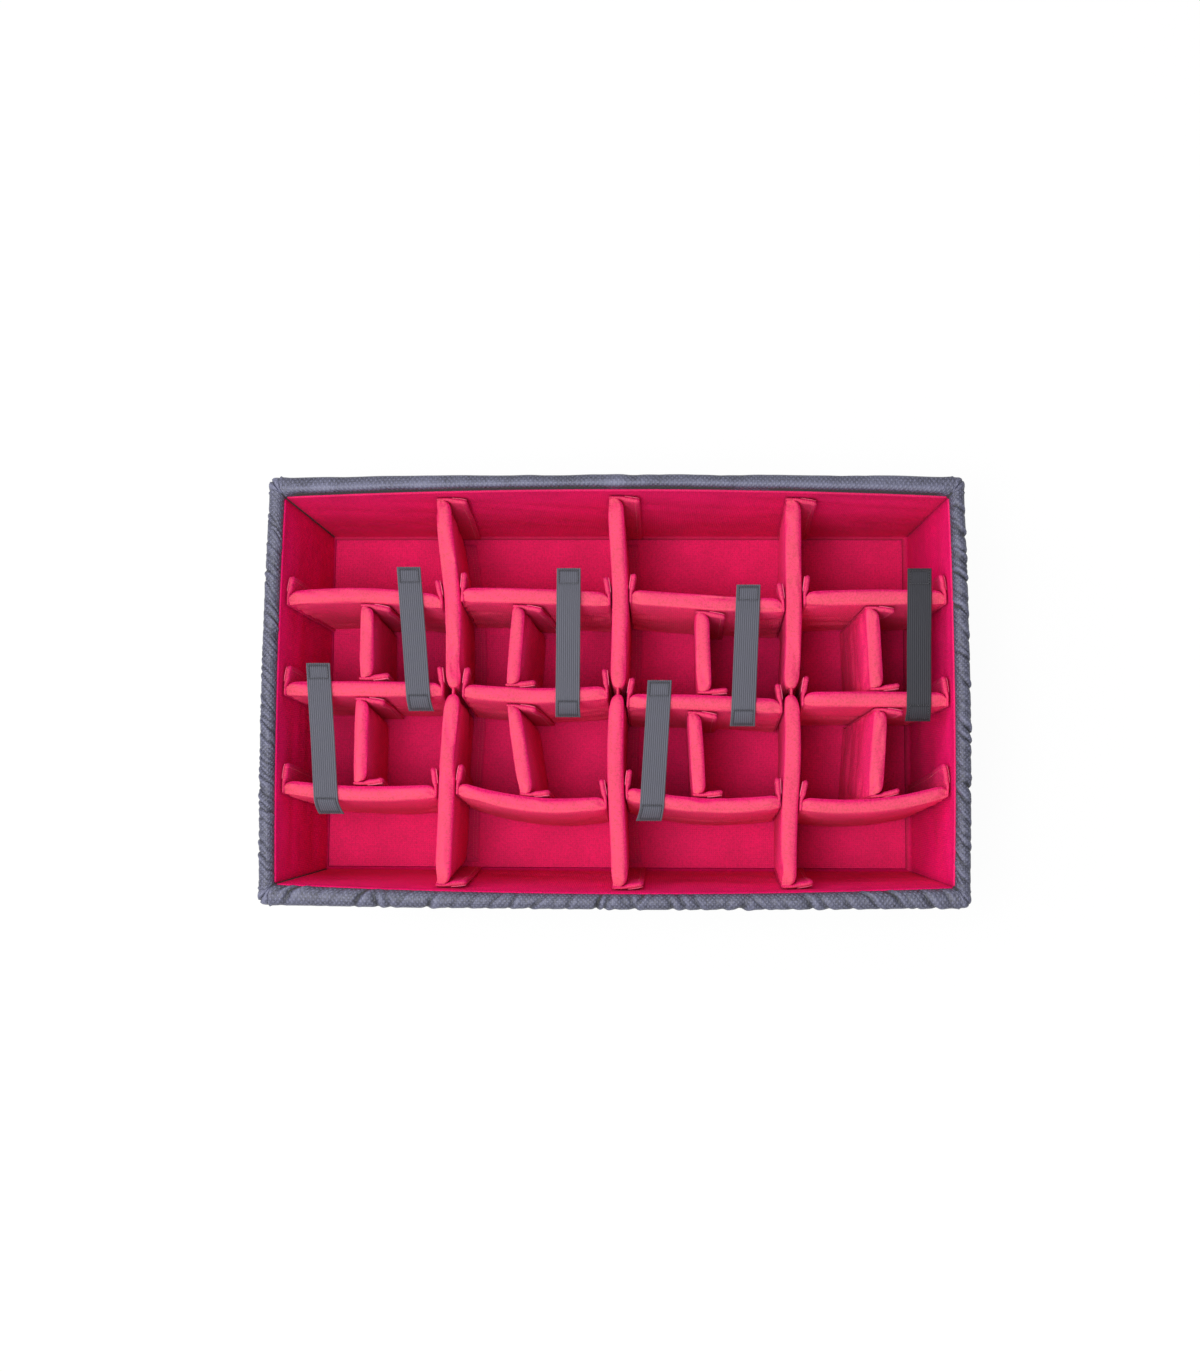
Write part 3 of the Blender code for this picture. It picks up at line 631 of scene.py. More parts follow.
@lru_cache(maxsize=None)
def hook_tape():
    """Pale hook tape: rows of small stiff hooks."""
    colour = tuple(settings().colours.hook)
    look = Shading("pale hook tape", 0.45)
    cloth = look.places("UV")
    rows = [look.waves(cloth, turn, pitch) for turn, pitch in zip((0.0, math.pi / 2), HOOK_PITCHES)]
    hooks = look.sum("MULTIPLY", *rows)
    tone = look.mix(hooks, shade(colour, 0.62), shade(colour, 1.22))
    return look.finish(tone, hooks, 0.0004, 0.8)


@lru_cache(maxsize=None)
def thread(name, colour):
    """Twisted sewing thread."""
    look = Shading(name, 0.55, Sheen_Weight=0.2)
    twist = look.noise(look.places("Object"), 1500.0, 1.0)
    tone = look.mix(twist, shade(colour, 0.75), shade(colour, 1.25))
    return look.finish(tone, twist, 0.0002, 0.5)


@lru_cache(maxsize=None)
def foam():
    """Open-cell foam."""
    colour = tuple(settings().colours.foam)
    look = Shading("black foam", 0.95)
    cells = look.noise(look.places("Object"), 900.0, 5.0, 0.8)
    tone = look.mix(look.ramp(cells, 0.35, 0.65), shade(colour, 0.5), shade(colour, 1.6))
    return look.finish(tone, cells, 0.0006, 0.9)


@lru_cache(maxsize=None)
def board():
    """Grey fibreboard."""
    colour = tuple(settings().colours.board)
    look = Shading("fibre base board", 0.8)
    fibres = look.noise(look.places("Object"), 260.0, 6.0, 0.75)
    tone = look.mix(look.ramp(fibres, 0.3, 0.7), shade(colour, 0.7), shade(colour, 1.3))
    return look.finish(tone, fibres, 0.0003, 0.5)


def coral():
    """Fabric of the dividers."""
    colour = tuple(settings().colours.coral)
    return loop_fabric("coral loop fabric", colour, sheen=0.04, lit=0.25, dim=0.33, fuzz=1.0)


def coral_tab():
    """Fabric of the tabs, which lie in the shade of their neighbours."""
    colour = shade(tuple(settings().colours.coral), 0.72)
    return loop_fabric(
        "coral loop fabric of a tab", colour, sheen=0.03, lit=0.12, dim=0.12, fuzz=1.0)


def coral_flat():
    """Fabric of the floor flaps, pressed flat; a darker copy of the divider fabric, as painted
    shade.
    """
    # Darker, with less painted highlight, than the divider fabric: painted shade like that on the
    # floor round the flaps
    colour = shade(tuple(settings().colours.coral), 0.84)
    return loop_fabric(
        "coral loop fabric, pressed", colour, sheen=0.03, lit=0.04, dim=0.15, fuzz=0.6)


def red():
    """Fabric of the lining."""
    colour = tuple(settings().colours.red)
    return loop_fabric("red loop lining", colour, sheen=0.03, lit=0.055, dim=0.0, fuzz=0.6)


def pink_thread():
    """Thread of the dividers and the lining."""
    return thread("pink thread", tuple(settings().colours.pink_thread))


def grey_thread():
    """Thread of the straps and the cover."""
    return thread("grey thread", tuple(settings().colours.grey_thread))


# Geometry Nodes

def new_node_tree(name, numbers):
    """Geometry tree with a geometry, some number inputs and a material; returns its ends."""
    tree = bpy.data.node_groups.new(name, "GeometryNodeTree")
    tree.interface.new_socket("Geometry", in_out="INPUT", socket_type="NodeSocketGeometry")
    for label in numbers:
        tree.interface.new_socket(label, in_out="INPUT", socket_type="NodeSocketFloat")
    tree.interface.new_socket("Material", in_out="INPUT", socket_type="NodeSocketMaterial")
    tree.interface.new_socket("Geometry", in_out="OUTPUT", socket_type="NodeSocketGeometry")
    return tree, tree.nodes.new("NodeGroupInput").outputs, tree.nodes.new("NodeGroupOutput")


def finish_tree(tree, geometry, material, end):
    """Realize the instances, set the material and end the tree."""
    real = chain(tree, "GeometryNodeRealizeInstances", Geometry=geometry)
    dressed = chain(
        tree, "GeometryNodeSetMaterial", Geometry=real.outputs[0], Material=material)
    tree.links.new(dressed.outputs[0], end.inputs[0])
    return tree


@lru_cache(maxsize=None)
def stitch_tree():
    """Thread laid stitch by stitch along each line of a mesh of edges."""
    tree, given, end = new_node_tree("Stitch line", ("Pitch", "Length", "Thickness"))
    line = chain(tree, "GeometryNodeMeshToCurve", Mesh=given["Geometry"])
    spots = chain(tree, "GeometryNodeCurveToPoints", {"mode": "LENGTH"}, Curve=line.outputs[0])
    tree.links.new(given["Pitch"], spots.inputs["Length"])
    turned = chain(
        tree, "FunctionNodeAlignRotationToVector", {"axis": "Z"}, Vector=spots.outputs["Tangent"])
    bead = chain(tree, "GeometryNodeMeshUVSphere", Segments=6, Rings=4, Radius=HALF)
    size = chain(
        tree, "ShaderNodeCombineXYZ",
        X=given["Thickness"], Y=given["Thickness"], Z=given["Length"])
    row = chain(
        tree, "GeometryNodeInstanceOnPoints", Points=spots.outputs[0], Instance=bead.outputs[0],
        Rotation=turned.outputs[0], Scale=size.outputs[0])
    return finish_tree(tree, row.outputs[0], given["Material"], end)


@lru_cache(maxsize=None)
def rib_tree():
    """Ribs raised along a strap by the distance across it."""
    tree, given, end = new_node_tree("Elastic ribs", ("Rib pitch", "Rib height"))
    across = chain(tree, "GeometryNodeInputNamedAttribute", {"data_type": "FLOAT"}, Name="across")
    turns = arithmetic(tree, "DIVIDE", across.outputs[0], given["Rib pitch"])
    wave = arithmetic(tree, "SINE", arithmetic(tree, "MULTIPLY", turns, math.tau))
    rise = arithmetic(tree, "MULTIPLY", wave, given["Rib height"])
    normal = chain(tree, "GeometryNodeInputNormal")
    offset = chain(
        tree, "ShaderNodeVectorMath", {"operation": "SCALE"}, _0=normal.outputs[0], Scale=rise)
    raised = chain(
        tree, "GeometryNodeSetPosition", Geometry=given["Geometry"], Offset=offset.outputs[0])
    return finish_tree(tree, raised.outputs[0], given["Material"], end)


def grown(piece, tree, **values):
    """Run a geometry tree on the piece, with inputs by name, and keep the plain mesh."""
    modifier = piece.modifiers.new(tree.name, "NODES")
    modifier.node_group = tree
    named = {
        item.name: item.identifier for item in tree.interface.items_tree
        if item.item_type == "SOCKET" and item.in_out == "INPUT"
    }
    for name, value in values.items():
        modifier[named[name.replace("_", " ")]] = value
    return baked(piece)


def stitches(name, lines, material, body, slot, weight=1.0):
    """Stitches along some lines of points, as one piece; weight is how heavy the thread is."""
    sizes = settings().stitches
    points = [point for line in lines for point in line]
    edges = []
    start = 0
    for line in lines:
        edges += [(start + step, start + step + 1) for step in range(len(line) - 1)]
        start += len(line)
    mesh = bpy.data.meshes.new(name)
    mesh.from_pydata([tuple(point) for point in points], edges, [])
    piece = linked(name, mesh)
    grown(
        piece, stitch_tree(), Pitch=sizes.pitch, Length=sizes.length,
        Thickness=sizes.thickness * weight, Material=material)
    piece.data.shade_smooth()
    return dress(piece, material, body, slot)


# Surfaces of the frame

class Solid:
    """Surface of a CAD node, asked where a straight line first meets it."""

    def __init__(self, name, along):
        mesh = frame["nodes"][name].data
        self.name = name
        self.along = along
        points = [self.turned(vert.co) for vert in mesh.vertices]
        self.tree = BVHTree.FromPolygons(points, [tuple(face.vertices) for face in mesh.polygons])
        self.low = np.min(points, axis=0)
        self.high = np.max(points, axis=0)
        self.height = self.high[2] - self.low[2]

    def turned(self, point):
        """Row frame to (along, across, up), or back."""
        if self.along == "x":
            return Vector(point)
        return Vector((point[1], point[0], point[2]))

    def meet(self, axis, side, other, z):
        """Where a line along an axis, from outside, first meets the solid, if it does."""
        start = [other, other, z]
        start[axis] = self.low[axis] - 0.01 if side == "low" else self.high[axis] + 0.01
        ray = [0.0, 0.0, 0.0]
        ray[axis] = 1.0 if side == "low" else -1.0
        hit = self.tree.ray_cast(Vector(start), Vector(ray))[0]
        return None if hit is None else hit[axis]

    def reach_along(self, side, across, z):
        """Outer face at the low or high end, or None beside the solid."""
        return self.meet(0, side, across, z)

    def face_across(self, side, along, z):
        """Outer face at the low or high side across."""
        face = self.meet(1, side, along, z)
        if face is None:
            raise RuntimeError(f"{self.name}: no surface at {along}, {z}")
        return face


class DividerShape:
    """Middle line, ends, thickness and tabs of a padded divider, taken from its node."""

    def __init__(self, node, along, tabs):
        self.solid = Solid(node, along)
        self.tabs = tabs
        self.base = self.solid.low[2]
        self.height = self.solid.height
        self.probe_heights = [self.base + self.height * share for share in PROBE_HEIGHT_SHARES]
        slot = settings().tabs.slot
        self.centre = (self.solid.low[0] + self.solid.high[0]) / 2
        self.ends = {}
        for side in ("low", "high"):
            inward = slot if side in tabs else 0.0
            self.ends[side] = [
                self.end_face(side, z) + (inward if side == "low" else -inward)
                for z in self.probe_heights
            ]
        margin = slot + PROBE_MARGIN
        self.lines = []
        for level, z in enumerate(self.probe_heights):
            start = self.ends["low"][level] + margin
            end = self.ends["high"][level] - margin
            samples = np.linspace(start, end, PROBE_COUNT)
            lows = [self.solid.face_across("low", a, z) for a in samples]
            highs = [self.solid.face_across("high", a, z) for a in samples]
            halfway = (np.array(lows) + highs) / 2
            self.lines.append(np.polyfit(samples - self.centre, halfway, MIDDLE_LINE_DEGREE))
            self.thickness = float(np.max(np.array(highs) - lows))

    def outer_faces(self, side, z):
        """Places across and the outer faces of the end there, at a height."""
        places = np.linspace(self.solid.low[1], self.solid.high[1], 3 * PROBE_COUNT)[1:-1]
        found = []
        for across in places:
            face = self.solid.reach_along(side, across, z)
            if face is not None:
                found.append((across, face))
        outermost = min(found, key=lambda pair: pair[1] if side == "low" else -pair[1])[1]
        return [(across, face) for across, face in found if abs(face - outermost) < TAB_FACE_DEPTH]

    def end_face(self, side, z):
        """Outermost face of an end at a height."""
        faces = [face for _, face in self.outer_faces(side, z)]
        return min(faces) if side == "low" else max(faces)

    def level(self, z):
        """Share of the way from the lower to the upper probe height."""
        low, high = self.probe_heights
        return (z - low) / (high - low)

    def end(self, side, z):
        """Where the padding ends at a height."""
        return blend(*self.ends[side], self.level(z))

    def middle(self, a, z):
        """Middle of the thickness at a place along and a height."""
        low, high = (np.polyval(line, a - self.centre) for line in self.lines)
        return blend(low, high, self.level(z))

    def place(self, a, c, z):
        """A place in the row frame."""
        return self.solid.turned((a, c, z))

    def tab_span(self, side):
        """Where a tab starts and ends across, halfway up."""
        places = [across for across, _ in self.outer_faces(side, self.base + self.height / 2)]
        return min(places), max(places)


@lru_cache(maxsize=None)
def divider_shape(node):
    """Shape of a padded divider, or of one half of a long one."""
    if node.startswith("cross"):
        return DividerShape(node, "x", ("low", "high"))
    if node.startswith("small"):
        return DividerShape(node, "y", ("low", "high"))
    return DividerShape(node, "y", ("high",) if node.endswith("rear_pad") else ("low",))


def padded_nodes():
    """CAD nodes that are padded panels."""
    halves = tuple(f"{name}_{half}_pad" for name in LONG_DIVIDERS for half in ("rear", "front"))
    return CROSS_DIVIDERS + SMALL_DIVIDERS + halves


# Padding

# Rounding of a panel's foot, and how far its first rings lie from a seam
PAD_FOOT = 0.003
SEAM_STEPS = (0.0, 0.0010, 0.0028, 0.0058, 0.0098, 0.0145)
# The fabric is held fast up to a height and lightly above it, and may move only so far
HELD_HEIGHT = 0.006
FREE_HOLD = 0.10
MOST_IN, MOST_OUT, MOST_SLIDE = -0.0020, 0.0011, 0.0015
CLOTH_FORM = {
    "quality": 5, "mass": 0.25, "tension_stiffness": 40.0, "compression_stiffness": 40.0,
    "shear_stiffness": 12.0, "bending_stiffness": 0.6, "tension_damping": 12.0,
    "use_pressure": True, "vertex_group_mass": "held", "pin_stiffness": 1.0,
}


def pad_section(width, height, side_steps):
    """Half width and height of the points up one side of a panel's section."""
    sizes = settings().padding
    crown = sizes.crown
    power = 2.0 / sizes.squareness
    rows = []
    for turn in np.linspace(0.0, math.pi / 2, 4)[:-1]:
        rows.append((width / 2 - PAD_FOOT * (1 - math.sin(turn)), PAD_FOOT * (1 - math.cos(turn))))
    rows += [(width / 2, rise) for rise in np.linspace(PAD_FOOT, height - crown, side_steps)]
    for turn in np.linspace(0.0, math.pi / 2, 7)[1:]:
        across = max(math.cos(turn), 0.0) ** power
        rows.append((width / 2 * max(across, 0.10), height - crown * (1 - math.sin(turn) ** power)))
    return rows


def pad_ring(shape, share, seed):
    """Ring of points round a panel at a share of its length."""
    sizes = settings().padding
    middle_z = shape.base + shape.height / 2
    start, end = shape.end("low", middle_z), shape.end("high", middle_z)
    length = end - start
    near = {"low": share * length, "high": (1 - share) * length}
    side = min(near, key=near.get)
    sewn = side in shape.tabs
    radius = sizes.end_radius if sewn else sizes.hinge_radius
    full = shape.thickness - 2 * sizes.fabric_inset
    open_share = float(rounded(near[side], radius))
    width = blend(sizes.seam_width, full, open_share)
    shift = -(full - width) / 2 * 0.85 if sewn else 0.0
    drop = sizes.top_drop * (1 - float(rounded(near[side], 0.012)))
    height = shape.height - sizes.fabric_inset * 2 - drop
    side_steps = round(shape.height / sizes.step)
    section = pad_section(full, height, side_steps)
    squeeze = width / full
    points = []
    for hand in (1, -1):
        rows = section if hand == 1 else section[::-1]
        for half_width, rise in rows:
            z = shape.base + sizes.fabric_inset + rise
            a = blend(shape.end("low", z), shape.end("high", z), share)
            soft = 0.45 * ripple(a, z, 0.045, 0.060, seed + hand)
            out = half_width * squeeze + 0.001 * soft * open_share
            c = shape.middle(a, z) + shift + hand * out
            points.append(shape.place(a, c, z))
    return points


def pad_mesh(node):
    """Fabric of a padded panel as it is cut, sewn shut at both ends."""
    sizes = settings().padding
    shape = divider_shape(node)
    middle_z = shape.base + shape.height / 2
    length = shape.end("high", middle_z) - shape.end("low", middle_z)
    near = np.array(SEAM_STEPS)
    inner_count = max(3, round((length - 2 * near[-1]) / sizes.step))
    inner = np.linspace(near[-1], length - near[-1], inner_count)
    places = np.concatenate([near[:-1], inner, length - near[::-1][1:]])
    seed = sum(node.encode()) * 0.37
    rings = [pad_ring(shape, place / length, seed) for place in places]
    count = len(rings[0])
    faces = []
    for first in range(0, (len(rings) - 1) * count, count):
        for step in range(count):
            after = (step + 1) % count
            faces.append((first + step, first + after, first + count + after, first + count + step))
    for first in (0, (len(rings) - 1) * count):
        for step in range(count // 2 - 1):
            last = first + count - 1
            faces.append((first + step, first + step + 1, last - 1 - step, last - step))
    points = [point for ring in rings for point in ring]
    uvs = [(places[vert // count], points[vert][2]) for face in faces for vert in face]
    piece = add_piece(node + "_padding", points, faces, uvs, mixed=True)
    held = piece.vertex_groups.new(name="held")
    for place, point in enumerate(points):
        at_seam = place // count in (0, len(rings) - 1)
        low = point[2] - shape.base < HELD_HEIGHT
        held.add([place], 1.0 if at_seam or low else FREE_HOLD, "REPLACE")
    return piece


def swell(pieces):
    """Let the fabric of the panels settle over its foam, all panels together."""
    sizes = settings().padding
    scene = bpy.context.scene
    for piece in pieces:
        cloth = piece.modifiers.new("fabric", "CLOTH")
        for field, value in CLOTH_FORM.items():
            setattr(cloth.settings, field, value)
        cloth.settings.uniform_pressure_force = sizes.pressure
        cloth.settings.shrink_min = -sizes.slack
        cloth.settings.effector_weights.gravity = 0.0
        cloth.collision_settings.use_collision = False
        cloth.point_cache.frame_start = 1
        cloth.point_cache.frame_end = sizes.frames
    for step in range(1, sizes.frames + 1):
        scene.frame_set(step)
    for piece in pieces:
        before = vertex_values(piece.data, "co")
        normals = vertex_values(piece.data, "normal").reshape(-1, 3)
        baked(piece)
        move = (vertex_values(piece.data, "co") - before).reshape(-1, 3)
        out = np.sum(move * normals, axis=1)
        held_out = np.clip(out, MOST_IN, MOST_OUT)
        slide = move - normals * out[:, None]
        reach = np.linalg.norm(slide, axis=1, keepdims=True)
        slide *= np.minimum(1.0, MOST_SLIDE / np.maximum(reach, TINY))
        settled = before.reshape(-1, 3) + slide + normals * held_out[:, None]
        piece.data.vertices.foreach_set("co", settled.ravel())
        piece.data.update()
    scene.frame_set(1)


# Tabs, webs and flaps

# Shares of a divider's height between which a tab stands, how its edges are rounded, and how
# far down from its top it stands off
TAB_RISE = (0.012, 0.992)
TAB_ROUNDING = 0.0026
FLARE_HEIGHT = 0.085
# How far a web reaches into both halves, and how far a flap's seams lie from its free edge
WEB_REACH = 0.0030
FLAP_SEAMS = (0.0028, 0.0064)


class TabShape:
    """One tab of a divider, laid along the outer face of its node."""

    def __init__(self, node, side):
        self.shape = divider_shape(node)
        self.out = -1.0 if side == "low" else 1.0
        self.root, self.free = self.shape.tab_span(side)
        self.low, self.high = (
            self.shape.base + self.shape.height * share for share in TAB_RISE)
        self.span = self.free - self.root
        self.pad = self.shape.thickness
        self.lines = []
        for z in self.shape.probe_heights:
            pairs = self.shape.outer_faces(side, z)
            pairs = [pair for pair in pairs if self.root + 0.0008 < pair[0] < self.free - 0.0008]
            across, faces = zip(*pairs)
            self.lines.append(np.polyfit(np.array(across) - self.root, faces, 2))
        lower, upper = (
            min(across for across, _ in self.shape.outer_faces(side, z))
            for z in self.shape.probe_heights)
        self.lean = upper - lower

    def face(self, u, z):
        """Outer face of the tab's node at a distance from its root and a height."""
        low, high = (float(np.polyval(line, u)) for line in self.lines)
        return blend(low, high, self.shape.level(z))

    def away(self, u, z):
        """Share by which the tab stands off its neighbour: most at the free top corner."""
        past = np.clip((u - self.pad * 0.6) / (self.span - self.pad * 0.6), 0.0, 1.0) ** 1.7
        return float(past * eased((z - (self.high - FLARE_HEIGHT)) / FLARE_HEIGHT))

    def fullness(self, u, z):
        """Share of the tab's puff: it is full near the top, and clear of the padding."""
        clear = eased((u - self.pad * 0.75) / (self.pad * 0.5))
        return float((0.35 + 0.65 * clear) * eased((z - (self.high - 0.090)) / 0.070))

    def column(self, u):
        """Lowest and highest point of the tab at a distance from its root."""
        corner = settings().tabs.corner
        past = max(u - (self.span - corner), 0.0) / corner
        cut = corner * (1.0 - math.sqrt(max(1.0 - past * past, 0.0)))
        return self.low + cut * 0.6, self.high - cut

    def middle(self, u, v, offset):
        """A place on the tab at an offset outwards from its inner side."""
        low, high = self.column(u)
        z = blend(low, high, v)
        sizes = settings().tabs
        flare = sizes.flare * self.away(u, z)
        soft = 0.0003 * ripple(u, z, 0.012, 0.030, self.root * 90 + self.out)
        puff = HALF * sizes.puff * self.fullness(u, z) if offset < sizes.thickness else 0.0
        back = offset - sizes.slot - flare - puff + soft * (u / self.span)
        a = self.face(u, z) + self.out * back
        lean = self.lean * (self.shape.level(z) - HALF)
        return self.shape.place(a, self.root + u + lean, z)


def tab_pieces(node, side):
    """A tab, the hook tape on its outer face and its stitches."""
    sizes = settings().tabs
    tab = TabShape(node, side)
    body = body_of_node(node)
    name = f"{node}_{side}_tab"
    height = tab.high - tab.low
    us = edged_steps(tab.span, 0.0020, TAB_ROUNDING)
    rises = edged_steps(height, 0.0055, TAB_ROUNDING) / height

    def thickness(u, v):
        return sizes.thickness + sizes.puff * tab.fullness(u, blend(tab.low, tab.high, v))

    middle = np.array([[tab.middle(u, v, sizes.thickness * HALF) for v in rises] for u in us])
    edge_u = rounded(np.minimum(us, tab.span - us), TAB_ROUNDING)
    edge_v = rounded(np.minimum(rises, 1 - rises) * height, TAB_ROUNDING)
    edge = np.maximum(edge_u[:, None] * edge_v[None, :], 0.15)
    full = np.array([[thickness(u, v) for v in rises] for u in us])
    fabric = shell(name, middle, us, rises * height, HALF * full * edge)
    dress(fabric, coral_tab(), body, "coral_loop_fabric")
    tape_us = edged_steps(tab.span - tab.pad - 0.0020, 0.0030, 0.0005) + tab.pad + 0.0010
    tape_rises = np.linspace(0.012, 0.985, len(rises))
    rows = []
    thin = np.empty((len(tape_us), len(tape_rises)))
    for row, u in enumerate(tape_us):
        rows.append([])
        for column, v in enumerate(tape_rises):
            stand = tab.away(u, blend(tab.low, tab.high, v))
            deep = sizes.tape_thickness + 0.10 * sizes.flare * stand
            rows[-1].append(tab.middle(u, v, sizes.thickness + deep * HALF))
            thin[row, column] = deep * HALF
    middle = np.array(rows)
    thin[0] *= 0.3
    thin[-1] *= 0.3
    tape = shell(name + "_tape", middle, tape_us, tape_rises * height, thin)
    dress(tape, hook_tape(), body, "coral_loop_fabric")
    line = tab.span - sizes.hem
    course = []
    for v in np.linspace(0.03, 0.97, 60):
        lift = HALF * thickness(line, v) + 0.0001
        course.append(tab.middle(line, v, sizes.thickness * HALF - lift))
    stitches(name + "_stitches", [course], pink_thread(), body, "coral_loop_fabric")


def web_piece(divider):
    """Flat sewn web on which the two halves of a long divider fold."""
    sizes = settings().tabs
    node = f"{divider}_hinge_web"
    solid = Solid(node, "y")
    start, end = solid.low[0] - WEB_REACH, solid.high[0] + WEB_REACH
    middle_a = (solid.low[0] + solid.high[0]) / 2

    def place(u, v):
        z = solid.low[2] + 0.0015 + v
        c = (solid.face_across("low", middle_a, z) + solid.face_across("high", middle_a, z)) / 2
        return solid.turned((start + u, c + 0.0003 * ripple(u, z, 0.004, 0.02, 5.0), z))

    length = end - start
    height = solid.height - 0.0060
    us = edged_steps(length, 0.0012, 0.0008)
    vs = edged_steps(height, 0.0055, 0.0012)
    web = slab(divider + "_web", place, us, vs, sizes.web_thickness, 0.0010)
    dress(web, coral(), divider, "coral_loop_fabric", (node,))
    seams = []
    for u in (WEB_REACH + 0.0002, length - WEB_REACH - 0.0002):
        for hand in (-1, 1):
            seams.append([
                Vector(place(u, v)) + Vector((hand * (sizes.web_thickness * HALF + 0.0001), 0, 0))
                for v in np.linspace(0.003, height - 0.002, 70)
            ])
    stitches(divider + "_web_stitches", seams, pink_thread(), divider, "coral_loop_fabric")


def flap_piece(divider):
    """Floor flap of a long divider: a flat strip with a double row of stitches."""
    node = f"{divider}_floor_flap"
    solid = Solid(node, "y")
    low, high = solid.low, solid.high
    start, length = low[0] + 0.0010, high[0] - low[0] - 0.0020
    probe = (low[2] + high[2]) / 2
    places = np.linspace(0.02, 0.98, PROBE_COUNT) * (high[0] - low[0]) + low[0]
    firsts = [solid.face_across("low", a, probe) for a in places]
    lasts = [solid.face_across("high", a, probe) for a in places]
    centre = (low[0] + high[0]) / 2
    first = np.polyfit(places - centre, firsts, MIDDLE_LINE_DEGREE)
    last = np.polyfit(places - centre, lasts, MIDDLE_LINE_DEGREE)
    width = float(np.mean(np.array(lasts) - firsts))

    def place(u, v):
        a = start + u
        share = v / width
        edges = (float(np.polyval(edge, a - centre)) for edge in (first, last))
        c = blend(*edges, share)
        wave = 0.0003 * ripple(a, c, 0.022, 0.010, 7.7)
        return solid.turned((a, c, probe + wave))

    us = edged_steps(length, 0.0045, 0.0008)
    vs = edged_steps(width, 0.0014, 0.0006)
    flap = slab(divider + "_flap", place, us, vs, (high[2] - low[2]) * 0.86, 0.0007)
    dress(flap, coral_flat(), divider, "coral_loop_fabric", (node,))
    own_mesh(flap)
    lift = (high[2] - low[2]) * 0.43 + 0.0001
    spots = np.linspace(0.004, length - 0.004, 90)
    seams = [
        [Vector(place(u, width - back)) + Vector((0, 0, lift)) for u in spots]
        for back in FLAP_SEAMS
    ]
    thread_piece = stitches(
        divider + "_flap_stitches", seams, pink_thread(), divider, "coral_loop_fabric")
    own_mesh(thread_piece)


# Straps

# Strap 4 is darker than the rest, and the tips of three straps hang askew
STRAP_WIDTH = 0.0250
STRAP_TONES = {"strap_4": 0.36}
END_SKEWS = {"strap_1": 0.0012, "strap_5": 0.0036, "strap_6": -0.0026}
# How much of a front tip hangs, how far the boxes of stitches reach in from the two tips, and
# how much heavier their thread is
HANGING = 0.0135
SEAM_BOX_DEPTHS = {"front": 0.0150, "rear": 0.0160}
BOX_THREAD = 1.8


class StrapShape:
    """Course of an elastic strap over its two dividers, taken from its two nodes."""

    def __init__(self, name):
        self.name = name
        ys, centres = [], []
        self.tops = []
        ends = []
        down = Vector((0, 0, -1))
        for part in ("front_end", "band"):
            solid = Solid(f"{name}_{part}", "x")
            above = solid.high[2] + 0.01
            ends.append((solid.low[1], solid.high[1]))
            for y in np.linspace(solid.low[1] + 0.0002, solid.high[1] - 0.0002, 40):
                across = [
                    x for x in np.linspace(solid.low[0], solid.high[0], 90)
                    if solid.tree.ray_cast(Vector((x, y, above)), down)[0] is not None
                ]
                centre = (across[0] + across[-1]) / 2
                ys.append(y)
                centres.append(centre)
                self.tops.append(solid.tree.ray_cast(Vector((centre, y, above)), down)[0][2])
        self.ys = np.array(ys)
        self.line = np.polyfit(self.ys, centres, 1)
        self.start = ends[0][0]
        self.end = ends[1][1]
        self.hinge = (ends[0][1] + ends[1][0]) / 2
        self.length = self.end - self.start

    def top(self, y):
        """Height of the strap's upper face."""
        return float(np.interp(y, self.ys, self.tops))

    def thickness(self, y):
        """Single in the middle, doubled at the sewn ends."""
        sizes = settings().straps
        near = min(y - self.start, self.end - y)
        doubled = float(eased((sizes.doubled + 0.0012 - near) / 0.0012))
        return sizes.thickness * (1.0 + doubled * 0.92)

    def place(self, u, v, lift=0.0):
        """A place on the strap: u from its front tip, v from its left edge."""
        y = self.start + u
        seed = sum(self.name.encode()) * 0.11
        loose = math.sin(math.pi * min(max(u / self.length, 0.0), 1.0))
        wave = 0.0007 * loose * ripple(u, v, 0.045, 0.030, seed)
        curl = -0.0006 * abs(2 * v / STRAP_WIDTH - 1.0) ** 3
        hang = (max(HANGING - u, 0.0) / HANGING) ** 1.5
        droop = settings().straps.droop * hang
        z = self.top(y) - HALF * self.thickness(y) + wave + curl + lift - droop
        spread = 1.0 + 0.05 * hang
        skew = END_SKEWS.get(self.name, 0.0) * hang
        x = float(np.polyval(self.line, y)) + (v - STRAP_WIDTH / 2) * spread + skew
        return Vector((x, y, z))

    def seam_box(self, end):
        """Limits of the box of stitches at an end, along the strap and across it."""
        margin = settings().straps.box_margin
        if end == "front":
            first, last = margin, SEAM_BOX_DEPTHS[end]
        else:
            first, last = self.length - SEAM_BOX_DEPTHS[end], self.length - margin
        return first, last, margin, STRAP_WIDTH - margin

    def pressed(self, u, v):
        """Share of painted shade at a place, along the groove that a seam's stitches press in."""
        most = 0.0
        for end in ("front", "rear"):
            first, last, left, right = self.seam_box(end)
            past = max(first - u, u - last, left - v, v - right)
            most = max(most, bump(past, 0.0007))
        return most


